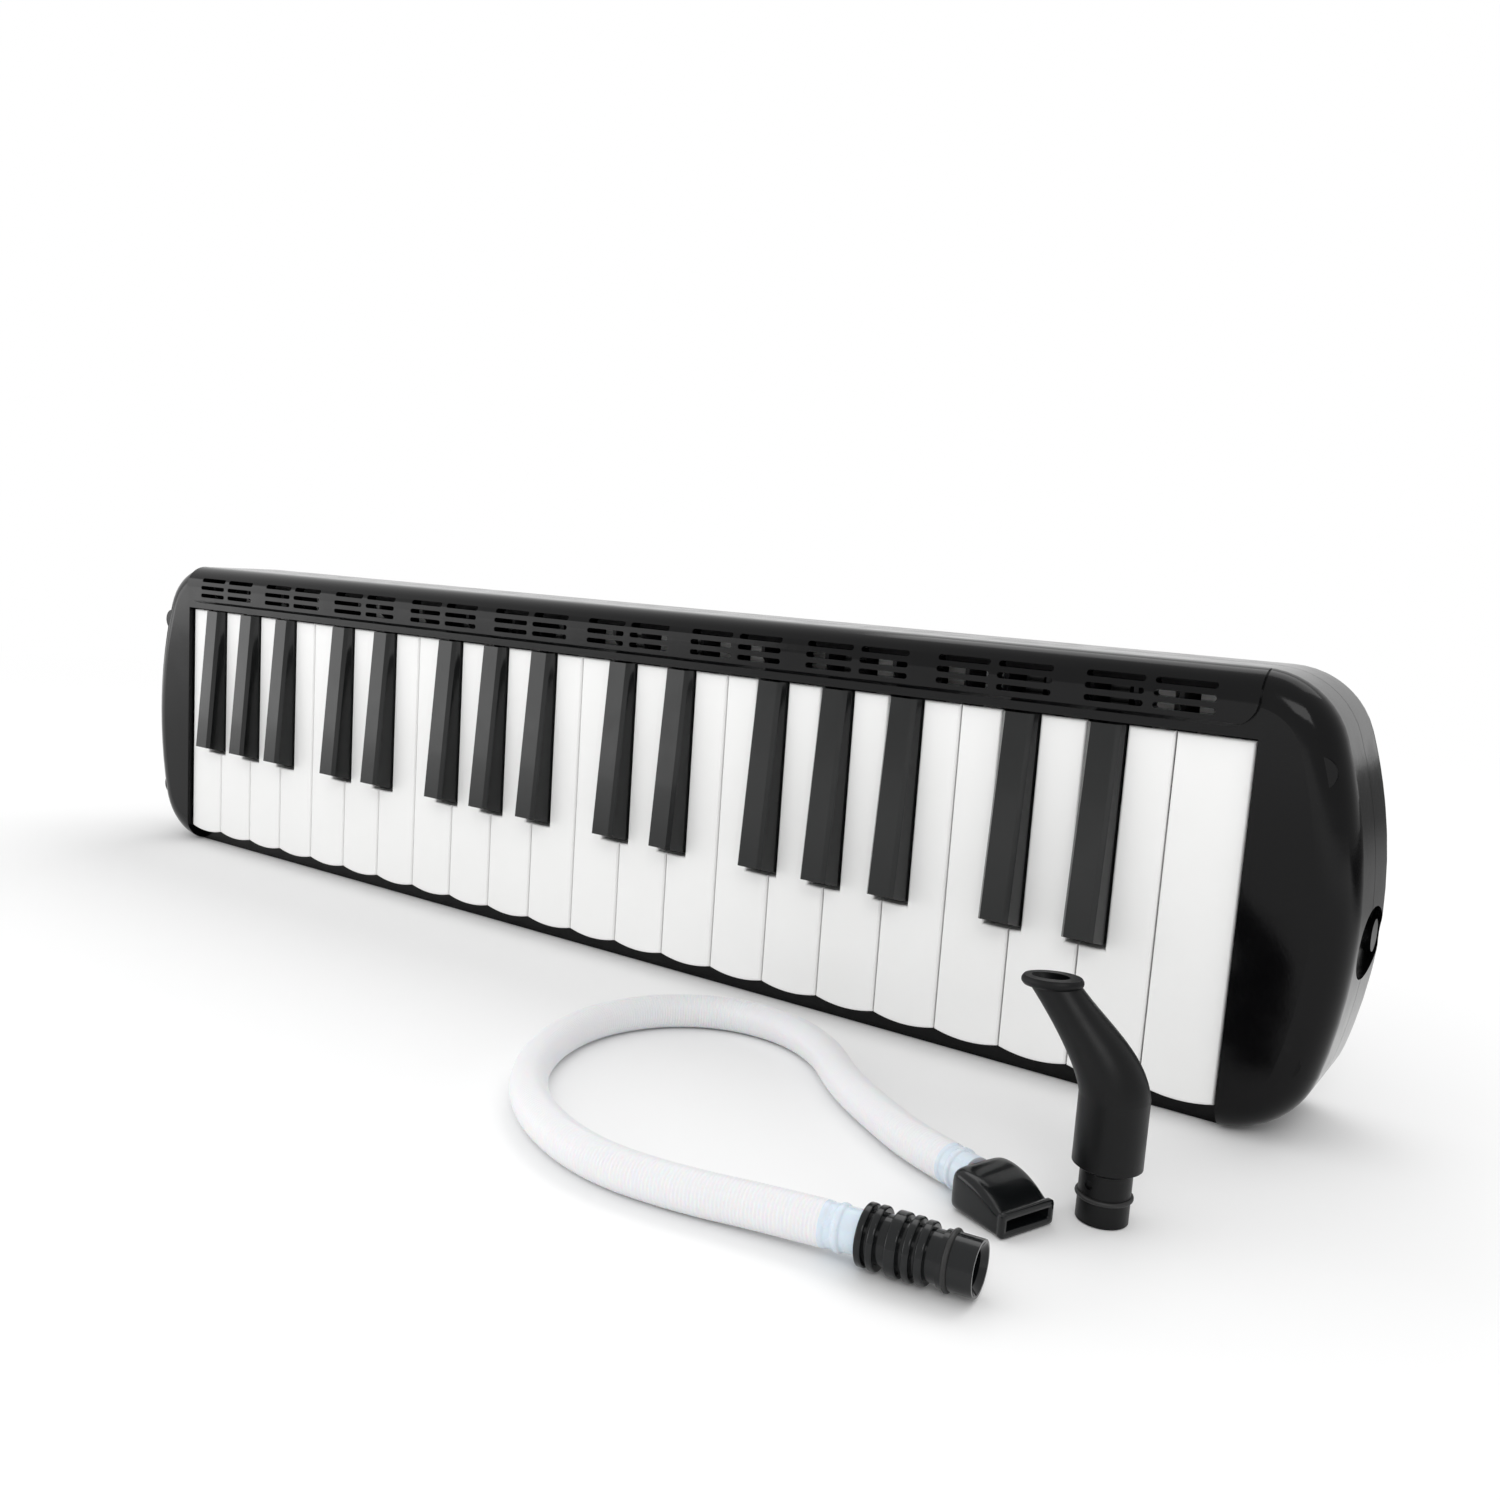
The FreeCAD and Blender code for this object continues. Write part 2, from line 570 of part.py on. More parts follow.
def grille_bar():
    """The raised bar above the keys, whose top rolls over into the back."""
    roll_z = CASE_HEIGHT - GRILLE_ROLL
    roll_y = GRILLE_FACE_Y + GRILLE_ROLL
    turn = GRILLE_ROLL * math.sqrt(0.5)
    start = V(0, roll_y, CASE_HEIGHT)
    middle = V(0, roll_y - turn, roll_z + turn)
    end = V(0, GRILLE_FACE_Y, roll_z)
    corners = [end, V(0, GRILLE_FACE_Y, GRILLE_BOTTOM_Z + GRILLE_LIP),
               V(0, GRILLE_FACE_Y + GRILLE_LIP, GRILLE_BOTTOM_Z),
               V(0, roll_y, GRILLE_BOTTOM_Z), start]
    edges = [Part.Arc(start, middle, end).toShape()]
    edges += [Part.makeLine(a, b) for a, b in zip(corners, corners[1:])]
    face = Part.Face(Part.Wire(edges))
    face.translate(V(-KEYBOARD_HALF, 0, 0))
    bar = face.extrude(V(2 * KEYBOARD_HALF, 0, 0))
    frame = box(-KEYBOARD_HALF, KEYBOARD_HALF, GRILLE_FACE_Y - 1, roll_y + 1,
                GRILLE_BOTTOM_Z, CASE_HEIGHT + GRILLE_END_R)
    uprights = [e for e in frame.Edges if all(v.Z < GRILLE_BOTTOM_Z + 0.1 for v in e.Vertexes)
                and e.BoundBox.YLength > e.BoundBox.XLength]
    return bar.common(frame.makeFillet(GRILLE_END_R, uprights))


def grille_slots():
    """Rows of long slots through the bar, in pairs."""
    span = 2 * (KEYBOARD_HALF - SLOT_MARGIN)
    group_length = (SLOT_COLUMNS - 1) * SLOT_PITCH + SLOT_LENGTH
    group_pitch = (span - group_length) / (SLOT_GROUPS - 1)
    reach = SLOT_LENGTH - SLOT_WIDTH
    half = SLOT_WIDTH / 2
    y0 = GRILLE_FACE_Y - 1
    y1 = RIM_INNER_Y - 1
    slots = []
    for group in range(SLOT_GROUPS):
        for column in range(SLOT_COLUMNS):
            x0 = -span / 2 + group * group_pitch + column * SLOT_PITCH + half
            for z in SLOT_ROWS:
                middle = box(x0, x0 + reach, y0, y1, z - half, z + half)
                ends = [rod_y(half, y0, y1, x, z) for x in (x0, x0 + reach)]
                slots.append(fuse_all([middle] + ends))
    return slots


def front_shell():
    """The front half of the case, open where the keys are."""
    front_part = box(-FAR, FAR, -FAR, PARTING_Y - PARTING_GAP, -FAR, FAR)
    shell = case_block(0).common(front_part).fuse(grille_bar())
    inner = case_block(CASE_WALL)
    inner_x = CHEEK_X + CHEEK_WALL
    rim_top = RIM_Z + RIM_WALL
    low_end = inner.common(box(-FAR, -inner_x, -FAR, FAR, -FAR, FAR))
    high_end = inner.common(box(inner_x, FAR, -FAR, FAR, -FAR, FAR))
    above = inner.common(box(-inner_x - 1, inner_x + 1, -FAR, FAR, rim_top, FAR))
    keyhole = box(-CHEEK_X, CHEEK_X, -FAR, FAR, -FAR, RIM_Z)
    behind_rim = box(-CHEEK_X, CHEEK_X, RIM_INNER_Y, FAR, RIM_Z - 1, rim_top + 1)
    cheek_end_y = BOARD_FRONT_Y - PARTING_GAP
    behind_cheeks = inner.common(box(-inner_x - 1, inner_x + 1, cheek_end_y, FAR, -FAR, FAR))
    shell = cut_all(shell, [low_end, high_end, above, keyhole, behind_rim, behind_cheeks])
    shell = cut_all(shell, grille_slots())
    bosses = [boss(x, z, CASE_FRONT_Y + CASE_WALL / 2) for x, z in end_screw_places()]
    pad = recess_pad(RECESS_Y - RECESS_HALF_Y - RECESS_PAD_REACH, PARTING_Y - PARTING_GAP)
    shell = fuse_all([shell, pad] + bosses)
    return cut_all(shell, recess_tools())


def back_shell():
    """The back half of the case, with the rail below the key tips."""
    back_part = box(-FAR, FAR, PARTING_Y, FAR, -FAR, FAR)
    shell = case_block(0).common(back_part).cut(case_block(CASE_WALL))
    rail_half = KEYBOARD_HALF - KEY_GAP / 2
    inside_y = CASE_BACK_Y - CASE_WALL / 2
    rail = box(-rail_half, rail_half, FRONT_RAIL_Y, PARTING_Y + CASE_WALL, 0, FRONT_RAIL_Z)
    half = BACK_RIB_WIDTH / 2
    ribs = [box(x - half, x + half, CHEST_BACK_Y, inside_y, BOARD_BOTTOM_Z, FRAME_TOP_Z)
            for x in BACK_RIB_X]
    places = end_screw_places() + frame_screw_places()
    bosses = [rod_y(BOSS_R + BACK_BOSS_EXTRA, BOSS_JOIN_Y + BOSS_GAP, inside_y, x, z)
              for x, z in places]
    shell = fuse_all([shell, rail, recess_pad(PARTING_Y, inside_y)] + ribs + bosses)
    holes = [rod_y(SCREW_R + SCREW_SLACK, BOSS_JOIN_Y, SCREW_SEAT_Y + 1, x, z) for x, z in places]
    sinks = [rod_y(SCREW_HEAD_R + SCREW_SLACK, SCREW_SEAT_Y, CASE_BACK_Y + 1, x, z)
             for x, z in places]
    socket = rod_x(BLOW_BORE_R + BLOW_WALL + BLOW_FIT, BLOW_FACE_X - 1, -CASE_HALF + BACK_ROUND,
                   BLOW_Y, BLOW_Z)
    return cut_all(shell, holes + sinks + [socket] + recess_tools())


def case_screws():
    screws = []
    for x, z in end_screw_places() + frame_screw_places():
        shank = rod_y(SCREW_R, SCREW_SEAT_Y - SCREW_LENGTH, SCREW_SEAT_Y, x, z)
        head = rod_y(SCREW_HEAD_R, SCREW_SEAT_Y, SCREW_SEAT_Y + SCREW_HEAD, x, z)
        top = SCREW_SEAT_Y + SCREW_HEAD
        cross = [box(x - across, x + across, top - CROSS_DEPTH, top + 1, z - along, z + along)
                 for across, along in ((CROSS_HALF, CROSS_WIDTH / 2), (CROSS_WIDTH / 2, CROSS_HALF))]
        screws.append(cut_all(head.fuse(shank), cross))
    return Part.makeCompound(screws)


# ---------------------------------------------------------------- key mechanism
def key_frame():
    """The plate behind the keys, the ears that hold the shaft and the guide fins."""
    half = KEYBOARD_HALF
    plate = box(-half, half, FRAME_FRONT_Y, BOARD_FRONT_Y, FRAME_BOTTOM_Z, FRAME_TOP_Z)
    pieces = [plate]
    root_y = FRAME_FRONT_Y + FRAME_PLATE / 2
    fin_y = TAIL_FRONT_Y + 0.5
    fin_low = SHAFT_Z + EAR_HALF_Z - 0.5
    slope_z = FRAME_TOP_Z + 0.5
    for x in cell_edges():
        wide = EAR_WIDTH / 2 if abs(x) < half - EAR_WIDTH else EAR_WIDTH / 4
        thin = FIN_WIDTH / 2
        pieces.append(box(x - wide, x + wide, TAIL_FRONT_Y, root_y,
                          SHAFT_Z - EAR_HALF_Z, SHAFT_Z + EAR_HALF_Z))
        pieces.append(prism_x([(root_y, fin_low), (fin_y, fin_low), (fin_y, slope_z),
                               (FIN_FRONT_Y, slope_z + FIN_SLOPE), (FIN_FRONT_Y, TAIL_TOP_Z),
                               (root_y, TAIL_TOP_Z)], x - thin, x + thin))
    pieces += [boss(x, z, BOARD_FRONT_Y - FRAME_PLATE / 4) for x, z in frame_screw_places()]
    frame = fuse_all(pieces)
    return frame.cut(rod_x(EAR_BORE_R, -half - 1, half + 1, SHAFT_Y, SHAFT_Z))


def hinge_shaft():
    reach = KEYBOARD_HALF - SHAFT_END_GAP
    return rod_x(SHAFT_R, -reach, reach, SHAFT_Y, SHAFT_Z)


def key_springs():
    """One leaf under every key, footed on the frame and bearing on the key's web."""
    foot = FRAME_FRONT_Y - 0.02
    tip = SKIRT_Y + SPRING_PLAY
    rise = tip + SPRING_TAIL_RISE
    t = SPRING_THICK
    tail_z = WEB_STEP_Z
    tip_z = tail_z - SPRING_TAIL
    bend_z = tip_z - SPRING_REACH
    low_z = bend_z - SPRING_FOOT
    outline = [(foot, low_z), (foot - t, low_z), (foot - t, bend_z), (tip, tip_z), (rise, tail_z),
               (rise + t, tail_z), (tip + t, tip_z), (foot, bend_z + t)]
    return Part.makeCompound([prism_x(outline, cell_centre(k) - SPRING_WIDTH / 2,
                                      cell_centre(k) + SPRING_WIDTH / 2)
                              for k in range(KEY_COUNT)])


def key_felts():
    half = KEYBOARD_HALF - EAR_WIDTH
    white = box(-half, half, FRAME_FRONT_Y - WHITE_FELT_THICK, FRAME_FRONT_Y, *WHITE_FELT_Z)
    black = box(-half, half, FRAME_FRONT_Y - BLACK_FELT_THICK, FRAME_FRONT_Y, *BLACK_FELT_Z)
    return Part.makeCompound([white, black])


# ---------------------------------------------------------------- wind way
def cell_half(key):
    pitch = (4 / 7 if key % 12 < 7 else 3 / 5) * WHITE_PITCH
    return (pitch - CELL_WALL) / 2


def valve_board():
    """One cell for each reed, open at the back, with a valve hole at the front."""
    board = box(-BOARD_HALF, BOARD_HALF, BOARD_FRONT_Y, BOARD_BACK_Y, BOARD_BOTTOM_Z, BOARD_TOP_Z)
    half = VALVE_SIZE / 2
    valve_z = TAIL_TOP_Z - PAD_LENGTH / 2
    tools = []
    for key in range(KEY_COUNT):
        x = cell_centre(key)
        tools.append(box(x - cell_half(key), x + cell_half(key), CELL_FRONT_Y, BOARD_BACK_Y + 1,
                         CELL_BOTTOM_Z, CELL_TOP_Z))
        tools.append(box(x - half, x + half, BOARD_FRONT_Y - 1, CELL_FRONT_Y + 1,
                         valve_z - half, valve_z + half))
    return cut_all(board, tools)


def reed_length(key):
    return REED_LONGEST - (REED_LONGEST - REED_SHORTEST) * key / (KEY_COUNT - 1)


def reed_plates():
    split = (cell_centre(LOW_PLATE_KEYS - 1) + cell_centre(LOW_PLATE_KEYS)) / 2
    outer = BOARD_HALF - CHEST_RIM - PLATE_PLAY
    z0 = CHEST_FLOOR_Z + PLATE_PLAY
    z1 = CHEST_ROOF_Z - PLATE_PLAY
    slot_z = CELL_BOTTOM_Z + REED_SILL
    half = REED_WIDTH / 2 + REED_GAP
    plates = []
    for x0, x1, keys in ((-outer, split - PLATE_GAP, range(LOW_PLATE_KEYS)),
                         (split + PLATE_GAP, outer, range(LOW_PLATE_KEYS, KEY_COUNT))):
        plate = box(x0, x1, BOARD_BACK_Y, PLATE_BACK_Y, z0, z1)
        plates.append(cut_all(plate, [box(cell_centre(k) - half, cell_centre(k) + half,
                                          BOARD_BACK_Y - 1, PLATE_BACK_Y + 1,
                                          slot_z, slot_z + reed_length(k))
                                      for k in keys]))
    return Part.makeCompound(plates)


def reeds():
    """A brass tongue over each slot, held at its upper end by a rivet."""
    tongues = []
    for key in range(KEY_COUNT):
        x = cell_centre(key)
        half = REED_WIDTH / 2
        z0 = CELL_BOTTOM_Z + REED_SILL + REED_GAP
        z1 = CELL_BOTTOM_Z + REED_SILL + reed_length(key) + REED_ROOT
        tongue = box(x - half, x + half, PLATE_BACK_Y, PLATE_BACK_Y + REED_THICK, z0, z1)
        rivet = rod_y(half - REED_GAP, PLATE_BACK_Y, PLATE_BACK_Y + RIVET_HEIGHT, x,
                      z1 - REED_ROOT / 2)
        tongues.append(tongue.fuse(rivet))
    return Part.makeCompound(tongues)


def chest_gasket():
    """A flat seal round the reed plates."""
    sheet = box(-BOARD_HALF, BOARD_HALF, BOARD_BACK_Y, PLATE_BACK_Y, BOARD_BOTTOM_Z, BOARD_TOP_Z)
    inner = BOARD_HALF - CHEST_RIM
    return sheet.cut(box(-inner, inner, BOARD_BACK_Y - 1, PLATE_BACK_Y + 1,
                         CHEST_FLOOR_Z, CHEST_ROOF_Z))


def wind_chest():
    """A tray that feeds every reed, with the blow nozzle at one end and a water sump at the other."""
    inner = BOARD_HALF - CHEST_RIM
    sump_bottom = DRAIN_Z - DRAIN_NIPPLE_R - SUMP_MARGIN
    tray = box(-BOARD_HALF, BOARD_HALF, PLATE_BACK_Y, CHEST_BACK_Y, BOARD_BOTTOM_Z, BOARD_TOP_Z)
    sump = box(BOARD_HALF - SUMP_WIDTH, BOARD_HALF, PLATE_BACK_Y, CHEST_BACK_Y,
               sump_bottom, CHEST_FLOOR_Z)
    nozzle = rod_x(NOZZLE_R, NOZZLE_TIP_X, -BOARD_HALF + 1, BLOW_Y, BLOW_Z)
    nipple = rod_x(DRAIN_NIPPLE_R, BOARD_HALF - 1, BOARD_HALF + DRAIN_NIPPLE_LENGTH, BLOW_Y, DRAIN_Z)
    chest = fuse_all([tray, sump, nozzle, nipple])
    back_y = CHEST_BACK_Y - CHEST_BACK
    return cut_all(chest, [
        box(-inner, inner, PLATE_BACK_Y - 1, back_y, CHEST_FLOOR_Z, CHEST_ROOF_Z),
        box(BOARD_HALF - SUMP_WIDTH + CHEST_RIM, inner, PLATE_BACK_Y + CHEST_RIM, back_y,
            sump_bottom + CHEST_RIM, CHEST_FLOOR_Z + 1),
        rod_x(NOZZLE_BORE_R, NOZZLE_TIP_X - 1, -inner + 1, BLOW_Y, BLOW_Z),
        rod_x(DRAIN_HOLE_R, inner - 1, BOARD_HALF + DRAIN_NIPPLE_LENGTH + 1, BLOW_Y, DRAIN_Z)])


def blow_socket():
    """The round socket in the low end that a mouthpiece plugs into."""
    outer = BLOW_BORE_R + BLOW_WALL
    stop_x = BLOW_FACE_X + BLOW_BORE_LENGTH
    inner_x = NOZZLE_TIP_X + BLOW_OVERLAP
    tube = rod_x(outer, BLOW_FACE_X, inner_x, BLOW_Y, BLOW_Z)
    flange_x = -CASE_HALF + BACK_ROUND
    reach = outer + BLOW_FLANGE_REACH
    flange = box(flange_x, flange_x + BLOW_FLANGE, PARTING_Y, CASE_BACK_Y - CASE_WALL - PARTING_GAP,
                 BLOW_Z - reach, BLOW_Z + reach)
    return cut_all(tube.fuse(flange), [
        rod_x(BLOW_BORE_R, BLOW_FACE_X - 1, stop_x, BLOW_Y, BLOW_Z),
        rod_x(NOZZLE_R + BLOW_FIT, stop_x - 1, inner_x + 1, BLOW_Y, BLOW_Z)])


def drain_button():
    """A push button whose stem lifts a stopper off the sump's outlet."""
    top_x = RECESS_FLOOR_X + BUTTON_STANDS
    flange_x = RECESS_FLOOR_X - RECESS_PAD - BUTTON_FLANGE_GAP
    stopper_x = BOARD_HALF - CHEST_RIM - STOPPER_GAP
    return fuse_all([
        rod_x(BUTTON_R, flange_x - BUTTON_FLANGE, top_x, BLOW_Y, DRAIN_Z),
        rod_x(BUTTON_R + BUTTON_FLANGE, flange_x - BUTTON_FLANGE, flange_x, BLOW_Y, DRAIN_Z),
        rod_x(BUTTON_STEM_R, stopper_x - STOPPER / 2, flange_x, BLOW_Y, DRAIN_Z),
        rod_x((DRAIN_HOLE_R + DRAIN_NIPPLE_R) / 2, stopper_x - STOPPER, stopper_x, BLOW_Y, DRAIN_Z)])


def drain_spring():
    """A coil round the button's stem."""
    start_x = BOARD_HALF + DRAIN_NIPPLE_LENGTH + COIL_END_GAP
    flange_x = RECESS_FLOOR_X - RECESS_PAD - BUTTON_FLANGE_GAP - BUTTON_FLANGE
    reach = flange_x - COIL_END_GAP - start_x
    helix = Part.makeHelix(reach / COIL_TURNS, reach, COIL_R)
    ring = Part.Wire([Part.makeCircle(COIL_WIRE_R, V(COIL_R, 0, 0), Y_AXIS)])
    coil = Part.Wire(helix.Edges).makePipeShell([ring], True, True)
    coil.rotate(V(0, 0, 0), Y_AXIS, 90)
    coil.translate(V(start_x, BLOW_Y, DRAIN_Z))
    return coil


# ---------------------------------------------------------------- hand strap
def hand_strap():
    """A flat band bowed outward, with a straight tongue at each end."""
    x0 = STRAP_CENTRE_X - STRAP_SPAN / 2
    x1 = STRAP_CENTRE_X + STRAP_SPAN / 2
    y0 = CASE_BACK_Y + (ANCHOR_DEPTH - STRAP_THICK) / 2
    y1 = y0 + STRAP_THICK
    z0 = STRAP_Z - STRAP_WIDTH / 2
    tongue = ANCHOR_LENGTH / 2

    def bow(y):
        return Part.Arc(V(x0, y, z0), V(STRAP_CENTRE_X, y + STRAP_RISE, z0), V(x1, y, z0)).toShape()

    left_end = [V(x0, y1, z0), V(x0 - tongue, y1, z0), V(x0 - tongue, y0, z0), V(x0, y0, z0)]
    right_end = [V(x1, y0, z0), V(x1 + tongue, y0, z0), V(x1 + tongue, y1, z0), V(x1, y1, z0)]
    lines = [Part.makeLine(a, b) for end in (left_end, right_end) for a, b in zip(end, end[1:])]
    wire = Part.Wire(Part.__sortEdges__([bow(y0), bow(y1)] + lines))
    return Part.Face(wire).extrude(V(0, 0, STRAP_WIDTH))


def strap_anchors():
    """A slotted block at each end of the strap."""
    anchors = []
    half_z = STRAP_WIDTH / 2 + ANCHOR_MARGIN
    gap = STRAP_PLAY
    y0 = CASE_BACK_Y + (ANCHOR_DEPTH - STRAP_THICK) / 2
    for side in (-1, 1):
        edge = STRAP_CENTRE_X + side * STRAP_SPAN / 2
        x0, x1 = sorted((edge, edge + side * ANCHOR_LENGTH))
        block = box(x0, x1, CASE_BACK_Y, CASE_BACK_Y + ANCHOR_DEPTH,
                    STRAP_Z - half_z, STRAP_Z + half_z)
        outer = [e for e in block.Edges
                 if all(abs(v.Y - CASE_BACK_Y - ANCHOR_DEPTH) < 0.01 for v in e.Vertexes)]
        block = block.makeFillet(ANCHOR_ROUND, outer)
        s0, s1 = sorted((edge - side, edge + side * (ANCHOR_LENGTH / 2 + gap)))
        slot = box(s0, s1, y0 - gap, y0 + STRAP_THICK + gap,
                   STRAP_Z - STRAP_WIDTH / 2 - gap, STRAP_Z + STRAP_WIDTH / 2 + gap)
        anchors.append(block.cut(slot))
    return Part.makeCompound(anchors)


# ---------------------------------------------------------------- mouthpieces and hose
def oval_wire(x, y, z, half_x, half_y, tilt):
    """A level oval, raised on its +X side by the tilt in degrees."""
    edge = Part.Ellipse(V(0, 0, 0), max(half_x, half_y + 0.01), half_y).toShape()
    wire = Part.Wire([edge])
    wire.rotate(V(0, 0, 0), Y_AXIS, -tilt)
    wire.translate(V(x, y, z))
    return wire


def neck_loft(shrink, extend):
    """The bent neck as a solid, from the barrel to the lip. Extend it past the lip to cut a passage."""
    # offset towards -X, height, half width, half depth, tilt
    stations = ((1.6, 31.6, 7.2, 6.9, 7.0), (6.0, 37.8, 6.6, 5.8, 9.0), (11.3, 43.4, 6.0, 4.7, 6.0),
                (LIP_OFFSET + extend * 0.7, LIP_Z + extend, LIP_HALF[0], LIP_HALF[1], LIP_TILT))
    base = Part.Wire([Part.makeCircle(BARREL_R - shrink, V(SHORT_X, SHORT_Y, BARREL_TOP_Z))])
    return Part.makeLoft([base] + [oval_wire(SHORT_X - dx, SHORT_Y, z, a - shrink, b - shrink, tilt)
                                   for dx, z, a, b, tilt in stations], True)


def turned(profile):
    """A solid of revolution about the short mouthpiece's axis, from its (radius, z) outline."""
    points = [V(SHORT_X + r, SHORT_Y, z) for r, z in profile + profile[:1]]
    return Part.Face(Part.makePolygon(points)).revolve(V(SHORT_X, SHORT_Y, 0), Z_AXIS, 360)


def short_mouthpiece():
    """A bent tube: a round plug, a fat barrel, and a flattened neck with a rolled lip."""
    x, y = SHORT_X, SHORT_Y
    step_z = PLUG_LENGTH + BARREL_STEP
    outside = turned([(0, 0), (PLUG_R, 0), (PLUG_R, PLUG_LENGTH), (BARREL_R, step_z),
                      (BARREL_R, BARREL_TOP_Z), (0, BARREL_TOP_Z)])
    inside_r = BARREL_R - MOUTH_WALL
    inside = turned([(0, -1), (PLUG_BORE_R, -1), (PLUG_BORE_R, step_z), (inside_r, step_z + MOUTH_WALL),
                     (inside_r, BARREL_TOP_Z), (0, BARREL_TOP_Z)])
    lip_x = x - LIP_OFFSET
    lip = Part.makeLoft([oval_wire(lip_x, y, LIP_Z + rise, LIP_HALF[0] + grow, LIP_HALF[1] + grow, LIP_TILT)
                         for rise, grow in ((-LIP_ROLL, LIP_ROLL / 2), (0.0, LIP_ROLL),
                                            (LIP_ROLL, LIP_ROLL / 2))], True)
    groove = Part.makeTorus(PLUG_R, ORING_R, V(x, y, SHORT_ORING_Z))
    locating_hole = rod_y(LOCATING_HOLE_R, y - PLUG_R - 1, y - PLUG_BORE_R - ORING_R,
                          x - 2 * LOCATING_HOLE_R, LOCATING_HOLE_Z)
    body = outside.fuse(neck_loft(0.0, 0.0)).fuse(lip)
    passage = inside.fuse(neck_loft(MOUTH_WALL, 2 * LIP_ROLL))
    for tool in (passage, groove, locating_hole):
        body = body.cut(tool)
    return body.Solids[0]


def short_mouthpiece_oring():
    return Part.makeTorus(PLUG_R, ORING_R - ORING_PLAY, V(SHORT_X, SHORT_Y, SHORT_ORING_Z))


def unit(a, b):
    return (b - a).normalize()


def hose_points():
    return [V(*p) for p in HOSE_ROUTE]


def hose_path():
    """Straight runs joined by tangent arcs, as wide as the runs beside them allow."""
    points = hose_points()
    edges = []
    here = points[0]
    length = 0.0
    for before, corner, after in zip(points, points[1:], points[2:]):
        inward = unit(before, corner)
        outward = unit(corner, after)
        turn = inward.getAngle(outward)
        reach = 0.45 * min((corner - before).Length, (after - corner).Length)
        radius = reach / math.tan(turn / 2)
        start = corner - inward * reach
        end = corner + outward * reach
        to_centre = (outward - inward).normalize()
        centre = corner + to_centre * (reach / math.sin(turn / 2))
        middle = centre - to_centre * radius
        edges.append(Part.makeLine(here, start))
        edges.append(Part.Arc(start, middle, end).toShape())
        length += (start - here).Length + radius * turn
        here = end
        print("hose turn %.1f deg, radius %.1f mm" % (math.degrees(turn), radius))
    edges.append(Part.makeLine(here, points[-1]))
    length += (points[-1] - here).Length
    print("hose length %.1f mm" % length)
    return Part.Wire(edges), length


def cuff(end, inward):
    """A plain sleeve on the hose's end, with a bead round it."""
    sleeve = Part.makeCylinder(CUFF_R, CUFF_LENGTH, end, inward)
    bead = Part.makeTorus(CUFF_R, CUFF_BEAD_R, end + inward * (CUFF_LENGTH * 0.62), inward)
    return [sleeve, bead]


def hose():
    path, length = hose_path()
    points = hose_points()
    ring = Part.Wire([Part.makeCircle(HOSE_R, points[0], unit(points[0], points[1]))])
    tube = path.makePipeShell([ring], True, False)
    print("hose volume %.0f, section times length %.0f" % (tube.Volume, math.pi * HOSE_R ** 2 * length))
    return fuse_all([tube] + cuff(points[0], unit(points[0], points[1]))
                    + cuff(points[-1], unit(points[-1], points[-2])))


def placed(shape, origin, direction):
    """Turn a shape made along +Z to point along a direction, and move it."""
    shape.Placement = FreeCAD.Placement(origin, FreeCAD.Rotation(Z_AXIS, direction))
    return shape


def connector_axis():
    """The plug points away from the hose, level with the ground."""
    start = V(*HOSE_ROUTE[0])
    away = V(start.x - HOSE_ROUTE[1][0], start.y - HOSE_ROUTE[1][1], 0).normalize()
    return start, away


def hose_connector():
    """Five round ribs for the fingers, a neck, and a plug like the short mouthpiece's."""
    rib = CONNECTOR_RIB_R
    core = CONNECTOR_CORE_R
    # where each rib starts and ends along the connector, and its radius
    ribs = ((0.0, 1.5, rib - 0.1), (2.4, 3.9, rib), (6.0, 8.4, rib), (9.5, 11.0, rib),
            (11.9, 13.6, rib - 0.2))
    pieces = [Part.makeCylinder(core, CONNECTOR_CORE_LENGTH)]
    for z0, z1, radius in ribs:
        disc = Part.makeCylinder(radius, z1 - z0, V(0, 0, z0))
        pieces.append(disc.makeFillet(0.4, [e for e in disc.Edges if len(e.Vertexes) == 1]))
    plug_start = CONNECTOR_CORE_LENGTH - 0.2
    pieces.append(Part.makeCylinder(CONNECTOR_PLUG_R, CONNECTOR_LENGTH - plug_start, V(0, 0, plug_start)))
    body = fuse_all(pieces)
    body = cut_all(body, [Part.makeCylinder(PLUG_BORE_R, CONNECTOR_LENGTH + 1, V(0, 0, 1.0)),
                          Part.makeCone(PLUG_BORE_R, PLUG_BORE_R + CONNECTOR_MOUTH, CONNECTOR_MOUTH,
                                        V(0, 0, CONNECTOR_LENGTH - CONNECTOR_MOUTH)),
                          Part.makeTorus(CONNECTOR_PLUG_R, ORING_R, V(0, 0, CONNECTOR_ORING))])
    return placed(body, *connector_axis())


def hose_connector_oring():
    ring = Part.makeTorus(CONNECTOR_PLUG_R, ORING_R - ORING_PLAY, V(0, 0, CONNECTOR_ORING))
    return placed(ring, *connector_axis())


